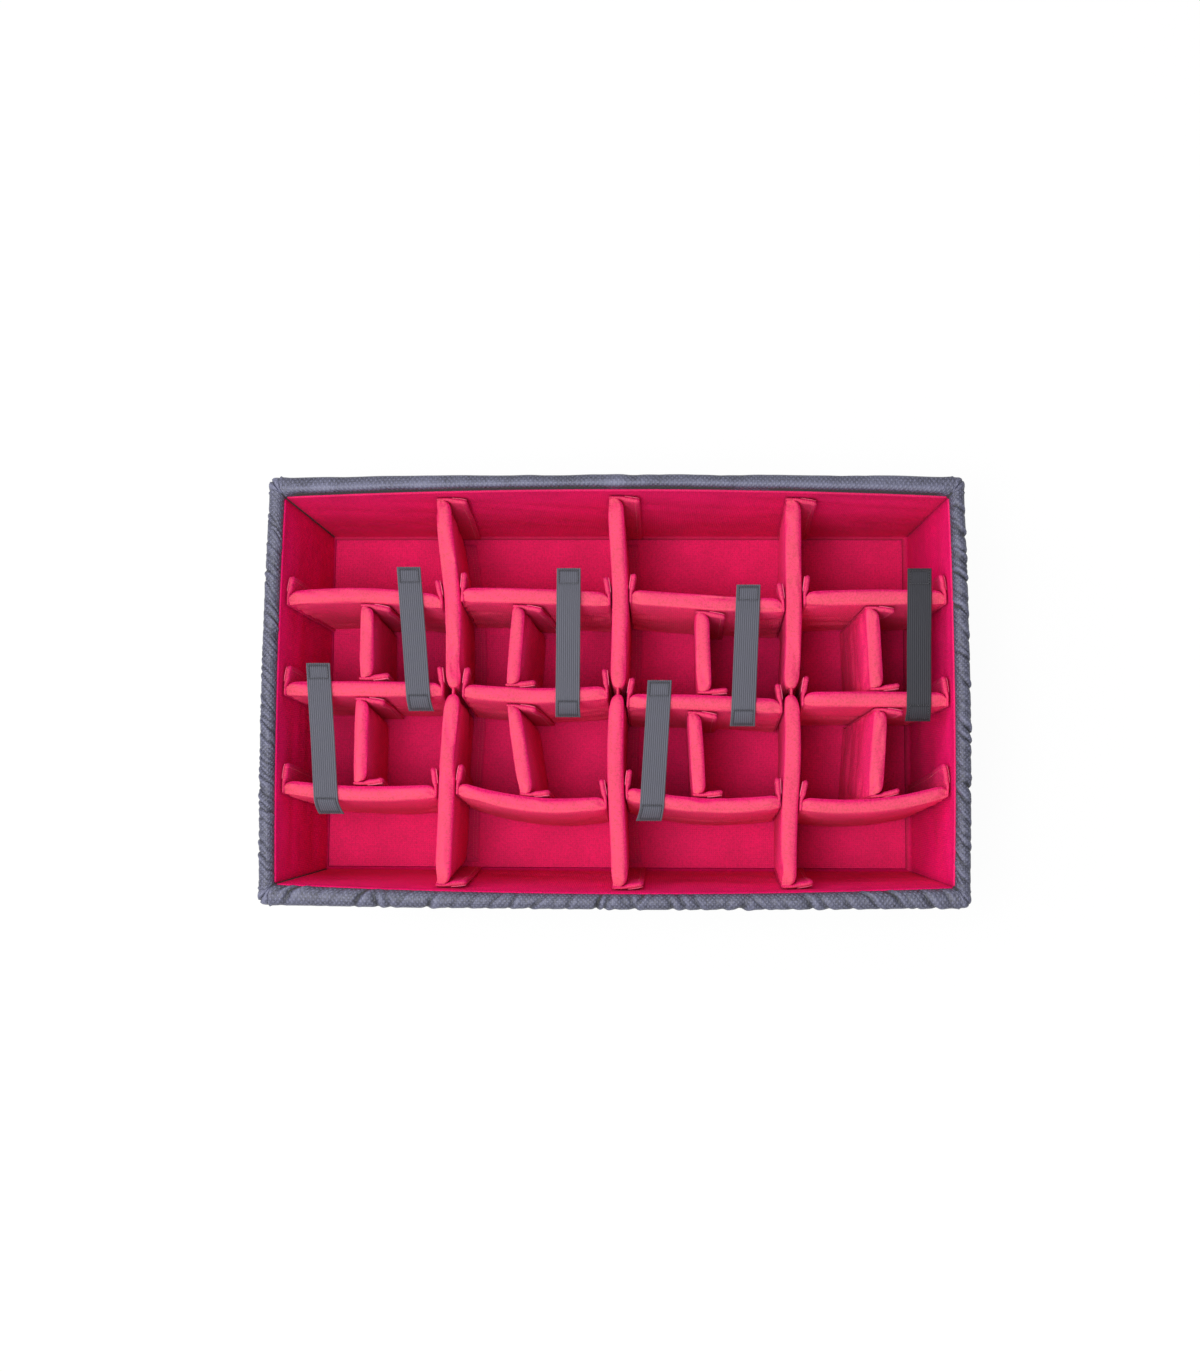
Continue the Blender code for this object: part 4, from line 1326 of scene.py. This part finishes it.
def strap_piece(name):
    """A ribbed strap in one piece, its box stitches and its bend at the front divider."""
    sizes = settings().straps
    shape = StrapShape(name)
    fabric = elastic(STRAP_TONES.get(name, 1.0))
    parent = body_of_node(f"{name}_front_end")
    us = edged_steps(shape.length, 0.0020, 0.0007)
    vs = edged_steps(STRAP_WIDTH, 0.0003, 0.0006)
    strap = slab(
        name + "_elastic", shape.place, us, vs,
        lambda u, v: shape.thickness(shape.start + u), 0.0006)
    mark(strap, "across", np.tile(vs, len(us)))
    # seam carries the painted shade along the stitch lines
    mark(strap, "seam", np.array([[shape.pressed(u, v) for v in vs] for u in us]))
    grown(
        strap, rib_tree(), Rib_pitch=sizes.rib_pitch, Rib_height=sizes.rib_height, Material=fabric)
    strap.data.shade_smooth()
    dress_blended(strap, fabric, (f"{name}_front_end", f"{name}_band"))
    hinge = shape.place(shape.hinge - shape.start, STRAP_WIDTH / 2)
    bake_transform(strap)
    for end, body in (("front", parent), ("rear", name)):
        stitches(
            f"{name}_{end}_stitches", box_seam(shape, end), grey_thread(), body, "grey_elastic",
            BOX_THREAD)


def dress_blended(piece, material, replaces):
    """Give a piece its material and its part in the frame, but no body of its own."""
    piece.data.materials.clear()
    piece.data.materials.append(material)
    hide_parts(*replaces)


def box_seam(shape, end):
    """Box of stitches that holds a strap's end."""
    first, last, left, right = shape.seam_box(end)
    corners = [(first, left), (first, right), (last, right), (last, left), (first, left)]
    course = []
    for (u0, v0), (u1, v1) in zip(corners, corners[1:]):
        for share in np.linspace(0.0, 1.0, 14)[:-1]:
            u, v = blend(u0, u1, share), blend(v0, v1, share)
            lift = HALF * shape.thickness(shape.start + u) + 0.0002
            course.append(shape.place(u, v, lift))
    course.append(course[0].copy())
    return [course]


# Tray

# Order of the walls round the tray, and how each one's rim is creased: depth, spacing, slant
# and how much the slant varies
SIDE_TURNS = {"right": 0, "rear": 1, "left": 2, "front": 3}
CREASE_SHARES = {"right": 1.05, "rear": 0.18, "left": 1.10, "front": 0.95}
CREASE_PITCHES = {"right": 0.0125, "rear": 0.0420, "left": 0.0088, "front": 0.0170}
CREASE_SLANTS = {"right": 0.7, "rear": 0.3, "left": 0.8, "front": 0.9}
CREASE_DRIFTS = {"right": 0.5, "rear": 0.5, "left": 0.5, "front": 1.3}
# Depth of the fold at the corner after each wall, and the fillet at the foot of its lining
CORNER_SHARES = {"right": 0.50, "rear": 1.00, "left": 1.00, "front": 0.50}
FILLETS = {"right": 0.0062, "rear": 0.0040, "left": 0.0025, "front": 0.0040}
# The least spacing and slant of the creases, and the deepest and highest a fold gets
LEAST_STEP = 0.40
LEAST_SLANT = 0.35
FOLD_LIMITS = (-0.8, 0.6)
# How far below the rolled rim the creases start, and over which lengths they fade in from
# there, out at the rim's back edge and out beside a corner
CREASE_START = 0.012
RIM_EASE = 0.007
BACK_EASE = 0.0035
CORNER_EASE = 0.012
# Stations along the walls and round a corner
LONG_COUNT, SHORT_COUNT, CORNER_COUNT = 380, 220, 13
# The rolled rim from front to back, the levels below it, and the roll at the lining's top
RIM_DEPTH = 0.0143
WALL_LEVELS = 11
ROLL_HEIGHT = 0.1968
ROLL_RADIUS = 0.0010
# The most that a bulge stands out, and how much smaller the hidden pieces are drawn
MOST_BULGE = 0.0012
FOAM_EASE = 0.0002
# Share of a diagonal step that goes each way, and the radius of the floor lining's corners
DIAGONAL = 0.7071
FLOOR_CORNER = 0.004


class TrayShape:
    """Plan and height of the tray, from its frame's boxes and its bow sizes."""

    def __init__(self):
        self.sizes = settings().tray
        base_low, base_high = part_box("base_cover")
        low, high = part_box("outer_cover")
        rim = self.sizes
        self.top = high[2]
        self.shoulder = high[2] - rim.rim_crown
        self.base_half = base_high[0]
        self.rim_half = high[0] - rim.rim_puff - rim.short_bow
        self.base_rear, self.base_front = base_high[1], -base_low[1]
        self.rim_rear = high[1] - rim.rim_puff - rim.rear_bow
        self.rim_front = -low[1] - rim.rim_puff - rim.front_bow
        self.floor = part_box("floor_lining")[1][2]

    def rise(self, z):
        """Share of the splayed wall below a height."""
        return min(max(z / self.shoulder, 0.0), 1.0)

    def half_length(self, z):
        """Half of the tray's length at a height."""
        return blend(self.base_half, self.rim_half, self.rise(z))

    def depth(self, side, z):
        """How far the rear or the front wall stands from the middle at a height."""
        if side == "rear":
            return blend(self.base_rear, self.rim_rear, self.rise(z))
        return blend(self.base_front, self.rim_front, self.rise(z))

    def bow(self, side, place, z):
        """How far a wall bows out at a place along it."""
        corner = self.sizes.corner_radius
        if side in ("rear", "front"):
            share = place / (self.half_length(z) - corner)
            most = self.sizes.rear_bow if side == "rear" else self.sizes.front_bow
            return most * self.rise(z) * max(1 - share * share, 0.0)
        rear, front = self.depth("rear", z) - corner, self.depth("front", z) - corner
        share = (place - (rear - front) / 2) / ((rear + front) / 2)
        return self.sizes.short_bow * self.rise(z) * max(1 - share * share, 0.0)

    def wall(self, side, place, z, inset):
        """A place on a wall: place is x or y along it."""
        if side in ("rear", "front"):
            hand = 1 if side == "rear" else -1
            return (place, hand * (self.depth(side, z) + self.bow(side, place, z) - inset), z)
        hand = 1 if side == "right" else -1
        return (hand * (self.half_length(z) + self.bow(side, place, z) - inset), place, z)

    def plan(self):
        """Stations round the tray: side, share along it, or the turn in a corner."""
        stations = []
        sides = list(SIDE_TURNS)
        for side, following in zip(sides, sides[1:] + sides[:1]):
            count = LONG_COUNT if side in ("rear", "front") else SHORT_COUNT
            stations += [(side, share, None) for share in np.linspace(0.0, 1.0, count + 1)[1:-1]]
            stations += [
                (side, following, turn) for turn in np.linspace(0.0, 1.0, CORNER_COUNT)]
        return stations

    def station(self, station, z, inset):
        """Place of a station at a height and an inset."""
        side, second, turn = station
        corner = blend(self.sizes.corner_radius, self.sizes.rim_corner_radius, self.rise(z))
        radius = max(corner - inset, 0.0025)
        right = self.half_length(z) - inset - radius
        rear = self.depth("rear", z) - inset - radius
        front = -(self.depth("front", z) - inset - radius)
        limits = {
            "right": (front, rear), "rear": (right, -right), "left": (rear, front),
            "front": (-right, right)}
        outer = self.rise(z) * (1.0 - float(eased(inset / 0.0125)))
        pulls = {
            "rear": self.sizes.rear_corner * outer, "front": -self.sizes.front_corner * outer}
        if turn is None:
            place = blend(*limits[side], second)
            pulled = pulls.get(side, 0.0) * (place / right) ** 2
            return np.array(self.wall(side, place, z, inset)) + (0.0, pulled, 0.0)
        quarter = SIDE_TURNS[side]
        centre = ((right, rear), (-right, rear), (-right, front), (right, front))[quarter]
        angle = math.pi / 2 * (quarter + turn)
        pulled = blend(pulls.get(side, 0.0), pulls.get(second, 0.0), turn)
        x = centre[0] + radius * math.cos(angle)
        return np.array((x, centre[1] + radius * math.sin(angle) + pulled, z))


def rim_profile(tray):
    """Height, inset and arc length up the wall, over the rim and down to the lining."""
    rim = settings().tray
    half = rim.cover_thickness * HALF
    walls = list(np.linspace(0.0018, tray.shoulder - 0.022, 9)) + [
        tray.shoulder - 0.014, tray.shoulder - 0.007]
    profile = [(z, half) for z in walls]
    width = (RIM_DEPTH + rim.rim_puff) / 2
    for turn in np.linspace(0.0, math.pi, 19):
        inset = (RIM_DEPTH - rim.rim_puff) / 2 - (width - half) * math.cos(turn)
        profile.append((tray.shoulder + (rim.rim_crown - half) * math.sin(turn), inset))
    inner = RIM_DEPTH - half
    profile += [(tray.shoulder - 0.0010, inner), (tray.shoulder - 0.0020, inner - 0.0006)]
    return profile, path_lengths(profile)


def crease_lines(side, length):
    """Creases along a rim: place, slant, width, strength and middle height of each."""
    pitch = CREASE_PITCHES[side]
    lines = []
    place = 0.0
    while place < length:
        draws = [
            noise.noise(Vector((place * 61.0, len(side) * 3.3, draw * 5.7))) for draw in range(4)]
        place += pitch * max(LEAST_STEP, 1.0 + 1.3 * draws[0])
        share = place / length
        slant = CREASE_SLANTS[side]
        if side == "front":
            slant *= 1.0 - 2.0 * share
        slant += CREASE_DRIFTS[side] * draws[1]
        slant = math.copysign(max(abs(slant), LEAST_SLANT), slant)
        width = pitch * (0.14 + 0.12 * abs(draws[2]))
        strength = 0.16 + 1.6 * abs(draws[3])
        lines.append((place, slant, width, strength, 0.017 + 0.014 * draws[2]))
    return np.array(lines)


def crease(lines, along, around):
    """Folds across the rolled rim, from -1 in a valley to a soft bulge beside it."""
    place, slant, width, strength, middle = lines.T
    warp = 0.0022 * ripple(along, around, 0.016, 0.009, 6.5)
    past = (along + warp - place - slant * (around - middle)) / width
    reach = np.exp(-((around - middle) / 0.011) ** 2) * strength
    valley = np.exp(-past ** 2)
    shoulder = np.exp(-((past - 1.9) / 1.3) ** 2)
    return float(np.clip(np.sum(reach * (0.50 * shoulder - valley)), *FOLD_LIMITS))


def rear_fold(fold, along, around, back):
    """The rear rim is rolled smooth: soft waves, a raised band and a low one behind it."""
    fold += 0.30 * ripple(along, around, 0.050, 0.02, 8.0)
    # In the nylon's colour the raised band is also a painted highlight, and the low band a painted
    # shade
    fold += 0.34 * bump(back - 0.0115, 0.0022)
    return fold - 0.42 * float(eased((0.0090 - back) / 0.0040))


def corner_fold(turn):
    """Mitred fold of the cover at a corner: one deep fold and two beside it."""
    # In the nylon's colour these folds are painted shade, with painted highlight round them
    beside = bump(turn - 0.10, 0.10) + bump(turn - 0.90, 0.10)
    return -(1.15 * bump(turn - HALF, 0.085) + 0.65 * beside) + 0.55


def cover_piece():
    """Nylon cover of the walls, rolled over the rim with its creases."""
    rim = settings().tray
    tray = TrayShape()
    profile, lengths = rim_profile(tray)
    stations = tray.plan()
    outer = np.array([tray.station(station, tray.shoulder, 0.0) for station in stations])
    runs = np.linalg.norm(np.roll(outer, -1, axis=0) - outer, axis=1)
    us = np.concatenate([[0.0], np.cumsum(runs)])
    middle = np.array([
        [tray.station(station, z, inset) for z, inset in profile] for station in stations])
    normal = grid_normals(middle, True)
    if np.sum(normal[:, 2, :2] * middle[:, 2, :2]) < 0:
        normal = -normal
    start = np.searchsorted(
        [z for z, _ in profile[:WALL_LEVELS]], tray.shoulder - CREASE_START)
    starts = {}
    for u, (side, _, turn) in zip(us, stations):
        if turn is None:
            starts.setdefault(side, u)
    span = 2 * tray.half_length(tray.shoulder)
    creases = {side: crease_lines(side, span) for side in WALLS}
    folds = np.zeros(middle.shape[:2])
    ruffles = np.zeros(middle.shape[:2])
    for row, station in enumerate(stations):
        side, second, turn = station
        for column, (z, inset) in enumerate(profile):
            around = max(lengths[column] - lengths[start], 0.0)
            back = lengths[-1] - lengths[column]
            on_rim = float(eased(around / RIM_EASE)) * float(eased(back / BACK_EASE))
            if turn is None:
                along = us[row] - starts[side]
                fold = crease(creases[side], along, around) * CREASE_SHARES[side]
                if side == "rear":
                    fold = rear_fold(fold, us[row], around, back)
                near = min(second, 1 - second)
                reach = 0.60 if side in ("rear", "front") else 0.35
                fold = fold * float(eased(near * reach / CORNER_EASE))
            else:
                fold = corner_fold(turn) * CORNER_SHARES[side]
                ear = rim.corner_ear * bump(turn - HALF, 0.22) * float(eased(around / 0.010))
                outward = np.sign(middle[row, column]) * (DIAGONAL, DIAGONAL, 0.0)
                middle[row, column] += outward * ear * float(eased(back / 0.012))
            slack = ripple(us[row], z, 0.085, 0.060, 1.5) * 0.0011
            slack = slack + ripple(us[row], z, 0.030, 0.10, 2.5) * 0.0004
            wall_share = 1.0 - float(eased(around / 0.012))
            low_share = float(eased(z / 0.03))
            move = rim.crease_depth * fold * on_rim + slack * wall_share * low_share
            middle[row, column] += normal[row, column] * min(move, MOST_BULGE)
            folds[row, column] = fold * on_rim
            ruffles[row, column] = on_rim * (CREASE_SHARES[side] if turn is None else 1.0)
    half = np.full(middle.shape[:2], rim.cover_thickness * HALF)
    cover = shell("cover", middle, us, lengths, half, closed=True)
    # fold also sets the nylon's painted shade in fold valleys and painted highlight on bulges
    mark(cover, "fold", folds)
    # ruffle sets where the painted shade of the fine puckers goes
    mark(cover, "ruffle", ruffles)
    dress(cover, nylon(), "tray", "grey_nylon", ("outer_cover",))


def lining_path(tray, side, half):
    """Height and depth up a lining: out of the fillet at its foot and over its rolled top."""
    inset = settings().tray.wall_thickness - half
    fillet = FILLETS[side]
    floor = tray.floor + half + 0.0001
    path = []
    for turn in np.linspace(0.0, math.pi / 2, 6)[:-1]:
        out = inset + fillet * (1 - math.sin(turn))
        path.append((floor + fillet * (1 - math.cos(turn)), out))
    path += [(z, inset) for z in np.linspace(floor + fillet, ROLL_HEIGHT - 0.002, 26)]
    for turn in np.linspace(0.0, math.pi * 0.9, 8):
        back = inset - ROLL_RADIUS * (1 - math.cos(turn))
        path.append((ROLL_HEIGHT + ROLL_RADIUS * math.sin(turn), back))
    return path


def lining_panel(tray, side):
    """Loop lining of one wall: stretched flat, rolled over at the top."""
    rim = settings().tray
    half = rim.lining_thickness * HALF
    path = lining_path(tray, side, half)
    lengths = path_lengths(path)
    corner = rim.wall_thickness - 0.0002

    def limits(z):
        if side in ("rear", "front"):
            reach = tray.half_length(z) - corner
            return -reach, reach
        return -(tray.depth("front", z) - corner), tray.depth("rear", z) - corner

    span = limits(tray.shoulder)
    length = span[1] - span[0]
    us = edged_steps(length, 0.0050, 0.0022)
    near_ends = np.minimum(us, length - us)
    seed = len(side) * 3.7
    seam_near = {"left": near_ends, "right": np.full(len(us), length)}.get(side, us)
    rows = []
    for u, near, seam in zip(us, near_ends, seam_near):
        tuck = 0.0011 * (1.0 - float(rounded(seam, 0.004)))
        tilt = u * 0.22 if side == "rear" else 0.0
        row = []
        for z, depth in path:
            place = blend(*limits(z), u / length)
            wave = 0.0020 * ripple(u, z + tilt, 0.090, 0.017, seed)
            wave = wave + 0.0008 * ripple(u, z, 0.035, 0.050, seed + 9)
            up = eased((z - tray.floor - 0.004) / 0.02)
            free = float(up * eased((ROLL_HEIGHT - z) / 0.02) * eased(near / 0.02))
            row.append(tray.wall(side, place, z, depth - tuck + min(wave, 0.0002) * free))
        rows.append(row)
    middle = np.array(rows)
    to_top = lengths[-1] - lengths
    edge = np.maximum(rounded(seam_near, 0.0012), 0.15)[:, None]
    top = np.maximum(rounded(np.minimum(lengths + 0.0002, to_top), 0.0008), 0.2)[None, :]
    panel = shell(f"{side}_lining_panel", middle, us, lengths, half * edge * top)
    # Painted shade where the lining meets the next wall, at its foot on the floor and under its
    # rolled top
    ends = np.exp(-near_ends / 0.0016)[:, None]
    foot = np.exp(-lengths / 0.0032) + 0.40 * np.exp(-to_top / 0.0030)
    mark(panel, "nook", np.maximum(ends, foot[None, :]))
    dress(panel, red(), "tray", "red_loop_lining", (f"{side}_lining",))


def lining_pieces():
    """The linings of the four walls."""
    tray = TrayShape()
    for side in WALLS:
        lining_panel(tray, side)


def rounded_plate(name, low, high, radius, middle_z, thickness, wave):
    """Closed flat sheet with rounded corners."""
    centre = ((low[0] + high[0]) / 2, (low[1] + high[1]) / 2)
    half = ((high[0] - low[0]) / 2, (high[1] - low[1]) / 2)

    def place(u, v):
        y = v - half[1]
        past = max(abs(y) - (half[1] - radius), 0.0)
        reach = half[0] - radius + math.sqrt(max(radius * radius - past * past, 0.0))
        x = (u / half[0] - 1.0) * reach
        soft = wave * ripple(x, y, 0.09, 0.07, 4.2)
        return (centre[0] + x, centre[1] + y, middle_z + soft)

    us, vs = (edged_steps(2 * reach, 0.0085, 0.0012) for reach in half)
    return slab(name, place, us, vs, thickness, 0.0008)


def base_pieces():
    """Cover under the tray and the lining of the floor."""
    rim = settings().tray
    low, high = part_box("base_cover")
    under = rounded_plate(
        "underside_cover", low, high, rim.corner_radius, (low[2] + high[2]) / 2,
        high[2] - low[2], 0.0)
    dress(under, nylon(), "tray", "grey_nylon", ("base_cover",))
    low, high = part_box("floor_lining")
    lift = rim.lining_thickness * HALF
    lining = rounded_plate(
        "floor_lining_panel", low, high, FLOOR_CORNER, high[2] - lift, rim.lining_thickness,
        0.0002)
    dress(lining, red(), "tray", "red_loop_lining", ("floor_lining",))


def inner_piece(node, name, material, slot):
    """A piece hidden in the walls or the base: its node's form, a little eased."""
    mesh = frame["nodes"][node].data.copy()
    mesh.name = name
    piece = linked(name, mesh)
    shape = bmesh.new()
    shape.from_mesh(mesh)
    bmesh.ops.remove_doubles(shape, verts=shape.verts, dist=TINY)
    shape.to_mesh(mesh)
    shape.free()
    mesh.update()
    inside = vertex_values(mesh, "co") - vertex_values(mesh, "normal") * FOAM_EASE
    mesh.vertices.foreach_set("co", inside)
    mesh.update()
    dress(piece, material, "tray", slot, (node,))


# Operators

# Name, place and size of each soft lamp, where they aim, and the stage's floor
LAMPS = (
    ("key", (-1.75, 0.25, 2.05), 1.5),
    ("top", (-0.38, -0.42, 2.45), 0.9),
    ("front", (-0.20, -1.80, 2.10), 1.2),
    ("rear", (-0.20, 1.80, 2.10), 1.2),
)
LAMP_AIM = (0.0, 0.0, 0.1)
FLOOR_REACH = 12.0
FLOOR_LEVEL = -0.0006


class PieceOperator(bpy.types.Operator):
    """Shared base of the operators that build pieces."""

    bl_options = {"REGISTER", "UNDO"}

    def execute(self, context):
        """Build the pieces; an error in the build stops the operator."""
        self.build(context)
        return {"FINISHED"}


class CASEDIVIDER_OT_padding(PieceOperator):
    """Build the padded panels of the dividers and let their fabric settle"""

    bl_idname = "case_divider.padding"
    bl_label = "Padding"

    def build(self, context):
        pieces = [pad_mesh(node) for node in padded_nodes()]
        swell(pieces)
        for node, piece in zip(padded_nodes(), pieces):
            piece.vertex_groups.clear()
            smoothed(piece)
            piece.data.shade_smooth()
            dress(piece, coral(), body_of_node(node), "coral_loop_fabric", (node,))


class CASEDIVIDER_OT_tabs(PieceOperator):
    """Build the tabs of the dividers with their hook tape and stitches"""

    bl_idname = "case_divider.tabs"
    bl_label = "Tabs"

    def build(self, context):
        for node in padded_nodes():
            for side in divider_shape(node).tabs:
                tab_pieces(node, side)


class CASEDIVIDER_OT_webs_and_flaps(PieceOperator):
    """Build the hinge webs and the floor flaps of the long dividers"""

    bl_idname = "case_divider.webs_and_flaps"
    bl_label = "Hinge webs and floor flaps"

    def build(self, context):
        for divider in LONG_DIVIDERS:
            web_piece(divider)
            flap_piece(divider)


class CASEDIVIDER_OT_straps(PieceOperator):
    """Build the ribbed elastic straps with their box stitches"""

    bl_idname = "case_divider.straps"
    bl_label = "Elastic straps"

    def build(self, context):
        for name in STRAPS:
            strap_piece(name)


class CASEDIVIDER_OT_cover(PieceOperator):
    """Build the nylon cover with its rolled and creased rim"""

    bl_idname = "case_divider.cover"
    bl_label = "Nylon cover"

    def build(self, context):
        cover_piece()


class CASEDIVIDER_OT_lining(PieceOperator):
    """Build the loop lining of the walls"""

    bl_idname = "case_divider.lining"
    bl_label = "Lining"

    def build(self, context):
        lining_pieces()


class CASEDIVIDER_OT_base(PieceOperator):
    """Build the base and the foam inside the walls"""

    bl_idname = "case_divider.base"
    bl_label = "Base and foam"

    def build(self, context):
        base_pieces()
        inner_piece("base_board", "stiff_base_board", board(), "base_board")
        inner_piece("base_foam", "base_foam_sheet", foam(), "black_foam")
        for side in WALLS:
            inner_piece(f"{side}_foam", f"{side}_wall_foam", foam(), "black_foam")


class CASEDIVIDER_OT_stage(PieceOperator):
    """Set up the camera, the lamps and the floor"""

    bl_idname = "case_divider.stage"
    bl_label = "Stage"

    def build(self, context):
        stage = settings().stage
        scene = context.scene
        camera = linked("camera", bpy.data.cameras.new("camera"))
        camera.location = stage.camera_place
        camera.rotation_euler = stage.camera_turn
        camera.data.lens = stage.lens
        camera.data.sensor_width = 36.0
        camera.data.clip_end = 50.0
        scene.camera = camera
        lamps = [
            self.lamp(f"soft {name}", place, size, getattr(stage, f"{name}_light"))
            for name, place, size in LAMPS
        ]
        mesh = bpy.data.meshes.new("stage floor")
        corners = ((-1, -1), (1, -1), (1, 1), (-1, 1))
        mesh.from_pydata(
            [(x * FLOOR_REACH, y * FLOOR_REACH, FLOOR_LEVEL) for x, y in corners],
            [], [(0, 1, 2, 3)])
        floor = linked("stage floor", mesh)
        mesh.materials.append(self.floor_material(stage.floor_glow))
        world = bpy.data.worlds.new("soft world")
        scene.world = world
        world.use_nodes = True
        background = world.node_tree.nodes["Background"]
        background.inputs["Color"].default_value = (1.0, 1.0, 1.0, 1.0)
        background.inputs["Strength"].default_value = stage.world_light
        scene.view_settings.view_transform = "Standard"

    @staticmethod
    def lamp(name, place, size, energy):
        """Square soft lamp aimed at the tray."""
        data = bpy.data.lights.new(name, "AREA")
        data.shape = "SQUARE"
        data.size = size
        data.energy = energy
        lamp = linked(name, data)
        lamp.location = place
        aim = Vector(LAMP_AIM) - lamp.location
        lamp.rotation_euler = aim.to_track_quat("-Z", "Y").to_euler()
        return lamp

    @staticmethod
    def floor_material(glow):
        """White floor that the camera sees as nearly even white."""
        look = Shading("stage floor", 0.9)
        tree = look.tree
        grain = look.noise(look.places("Object"), 3.0, 2.0)
        look.finish(look.mix(grain, (0.79, 0.79, 0.79), (0.81, 0.81, 0.81)))
        light = look.add("ShaderNodeEmission", Color=(1.0, 1.0, 1.0, 1.0), Strength=1.0)
        seen = look.add("ShaderNodeLightPath").outputs
        mirrored = look.sum("MAXIMUM", seen["Is Camera Ray"], seen["Is Transmission Ray"])
        share = look.sum("MULTIPLY", mirrored, glow)
        both = look.add("ShaderNodeMixShader", _0=share)
        tree.links.new(look.shader.outputs[0], both.inputs[1])
        tree.links.new(light.outputs[0], both.inputs[2])
        tree.links.new(both.outputs[0], tree.nodes["Material Output"].inputs[0])
        return look.material


OPERATORS = (
    CASEDIVIDER_OT_padding, CASEDIVIDER_OT_tabs, CASEDIVIDER_OT_webs_and_flaps,
    CASEDIVIDER_OT_straps, CASEDIVIDER_OT_cover, CASEDIVIDER_OT_lining, CASEDIVIDER_OT_base,
    CASEDIVIDER_OT_stage,
)
GROUPS = (
    TraySizes, PaddingSizes, TabSizes, StrapSizes, StitchSizes, FabricColours, StageSettings,
    CaseDividerSettings,
)


class CASEDIVIDER_PT_panel(bpy.types.Panel):
    """Lists the operators of the case divider"""

    bl_idname = "CASEDIVIDER_PT_panel"
    bl_label = "Case divider"
    bl_space_type = "VIEW_3D"
    bl_region_type = "UI"
    bl_category = "Case divider"

    def draw(self, context):
        for operator in OPERATORS:
            self.layout.operator(operator.bl_idname)


def register():
    """Add the settings, the operators and the panel."""
    for group in GROUPS:
        bpy.utils.register_class(group)
    for operator in OPERATORS:
        bpy.utils.register_class(operator)
    bpy.utils.register_class(CASEDIVIDER_PT_panel)
    bpy.types.Scene.case_divider = bpy.props.PointerProperty(
        name="Case divider", type=CaseDividerSettings)


def unregister():
    """Take away the panel, the operators and the settings."""
    del bpy.types.Scene.case_divider
    bpy.utils.unregister_class(CASEDIVIDER_PT_panel)
    for operator in reversed(OPERATORS):
        bpy.utils.unregister_class(operator)
    for group in reversed(GROUPS):
        bpy.utils.unregister_class(group)


def main():
    """Build every piece and the stage."""
    register()
    for operator in OPERATORS:
        group, name = operator.bl_idname.split(".")
        getattr(getattr(bpy.ops, group), name)()


if __name__ == "__main__":
    main()
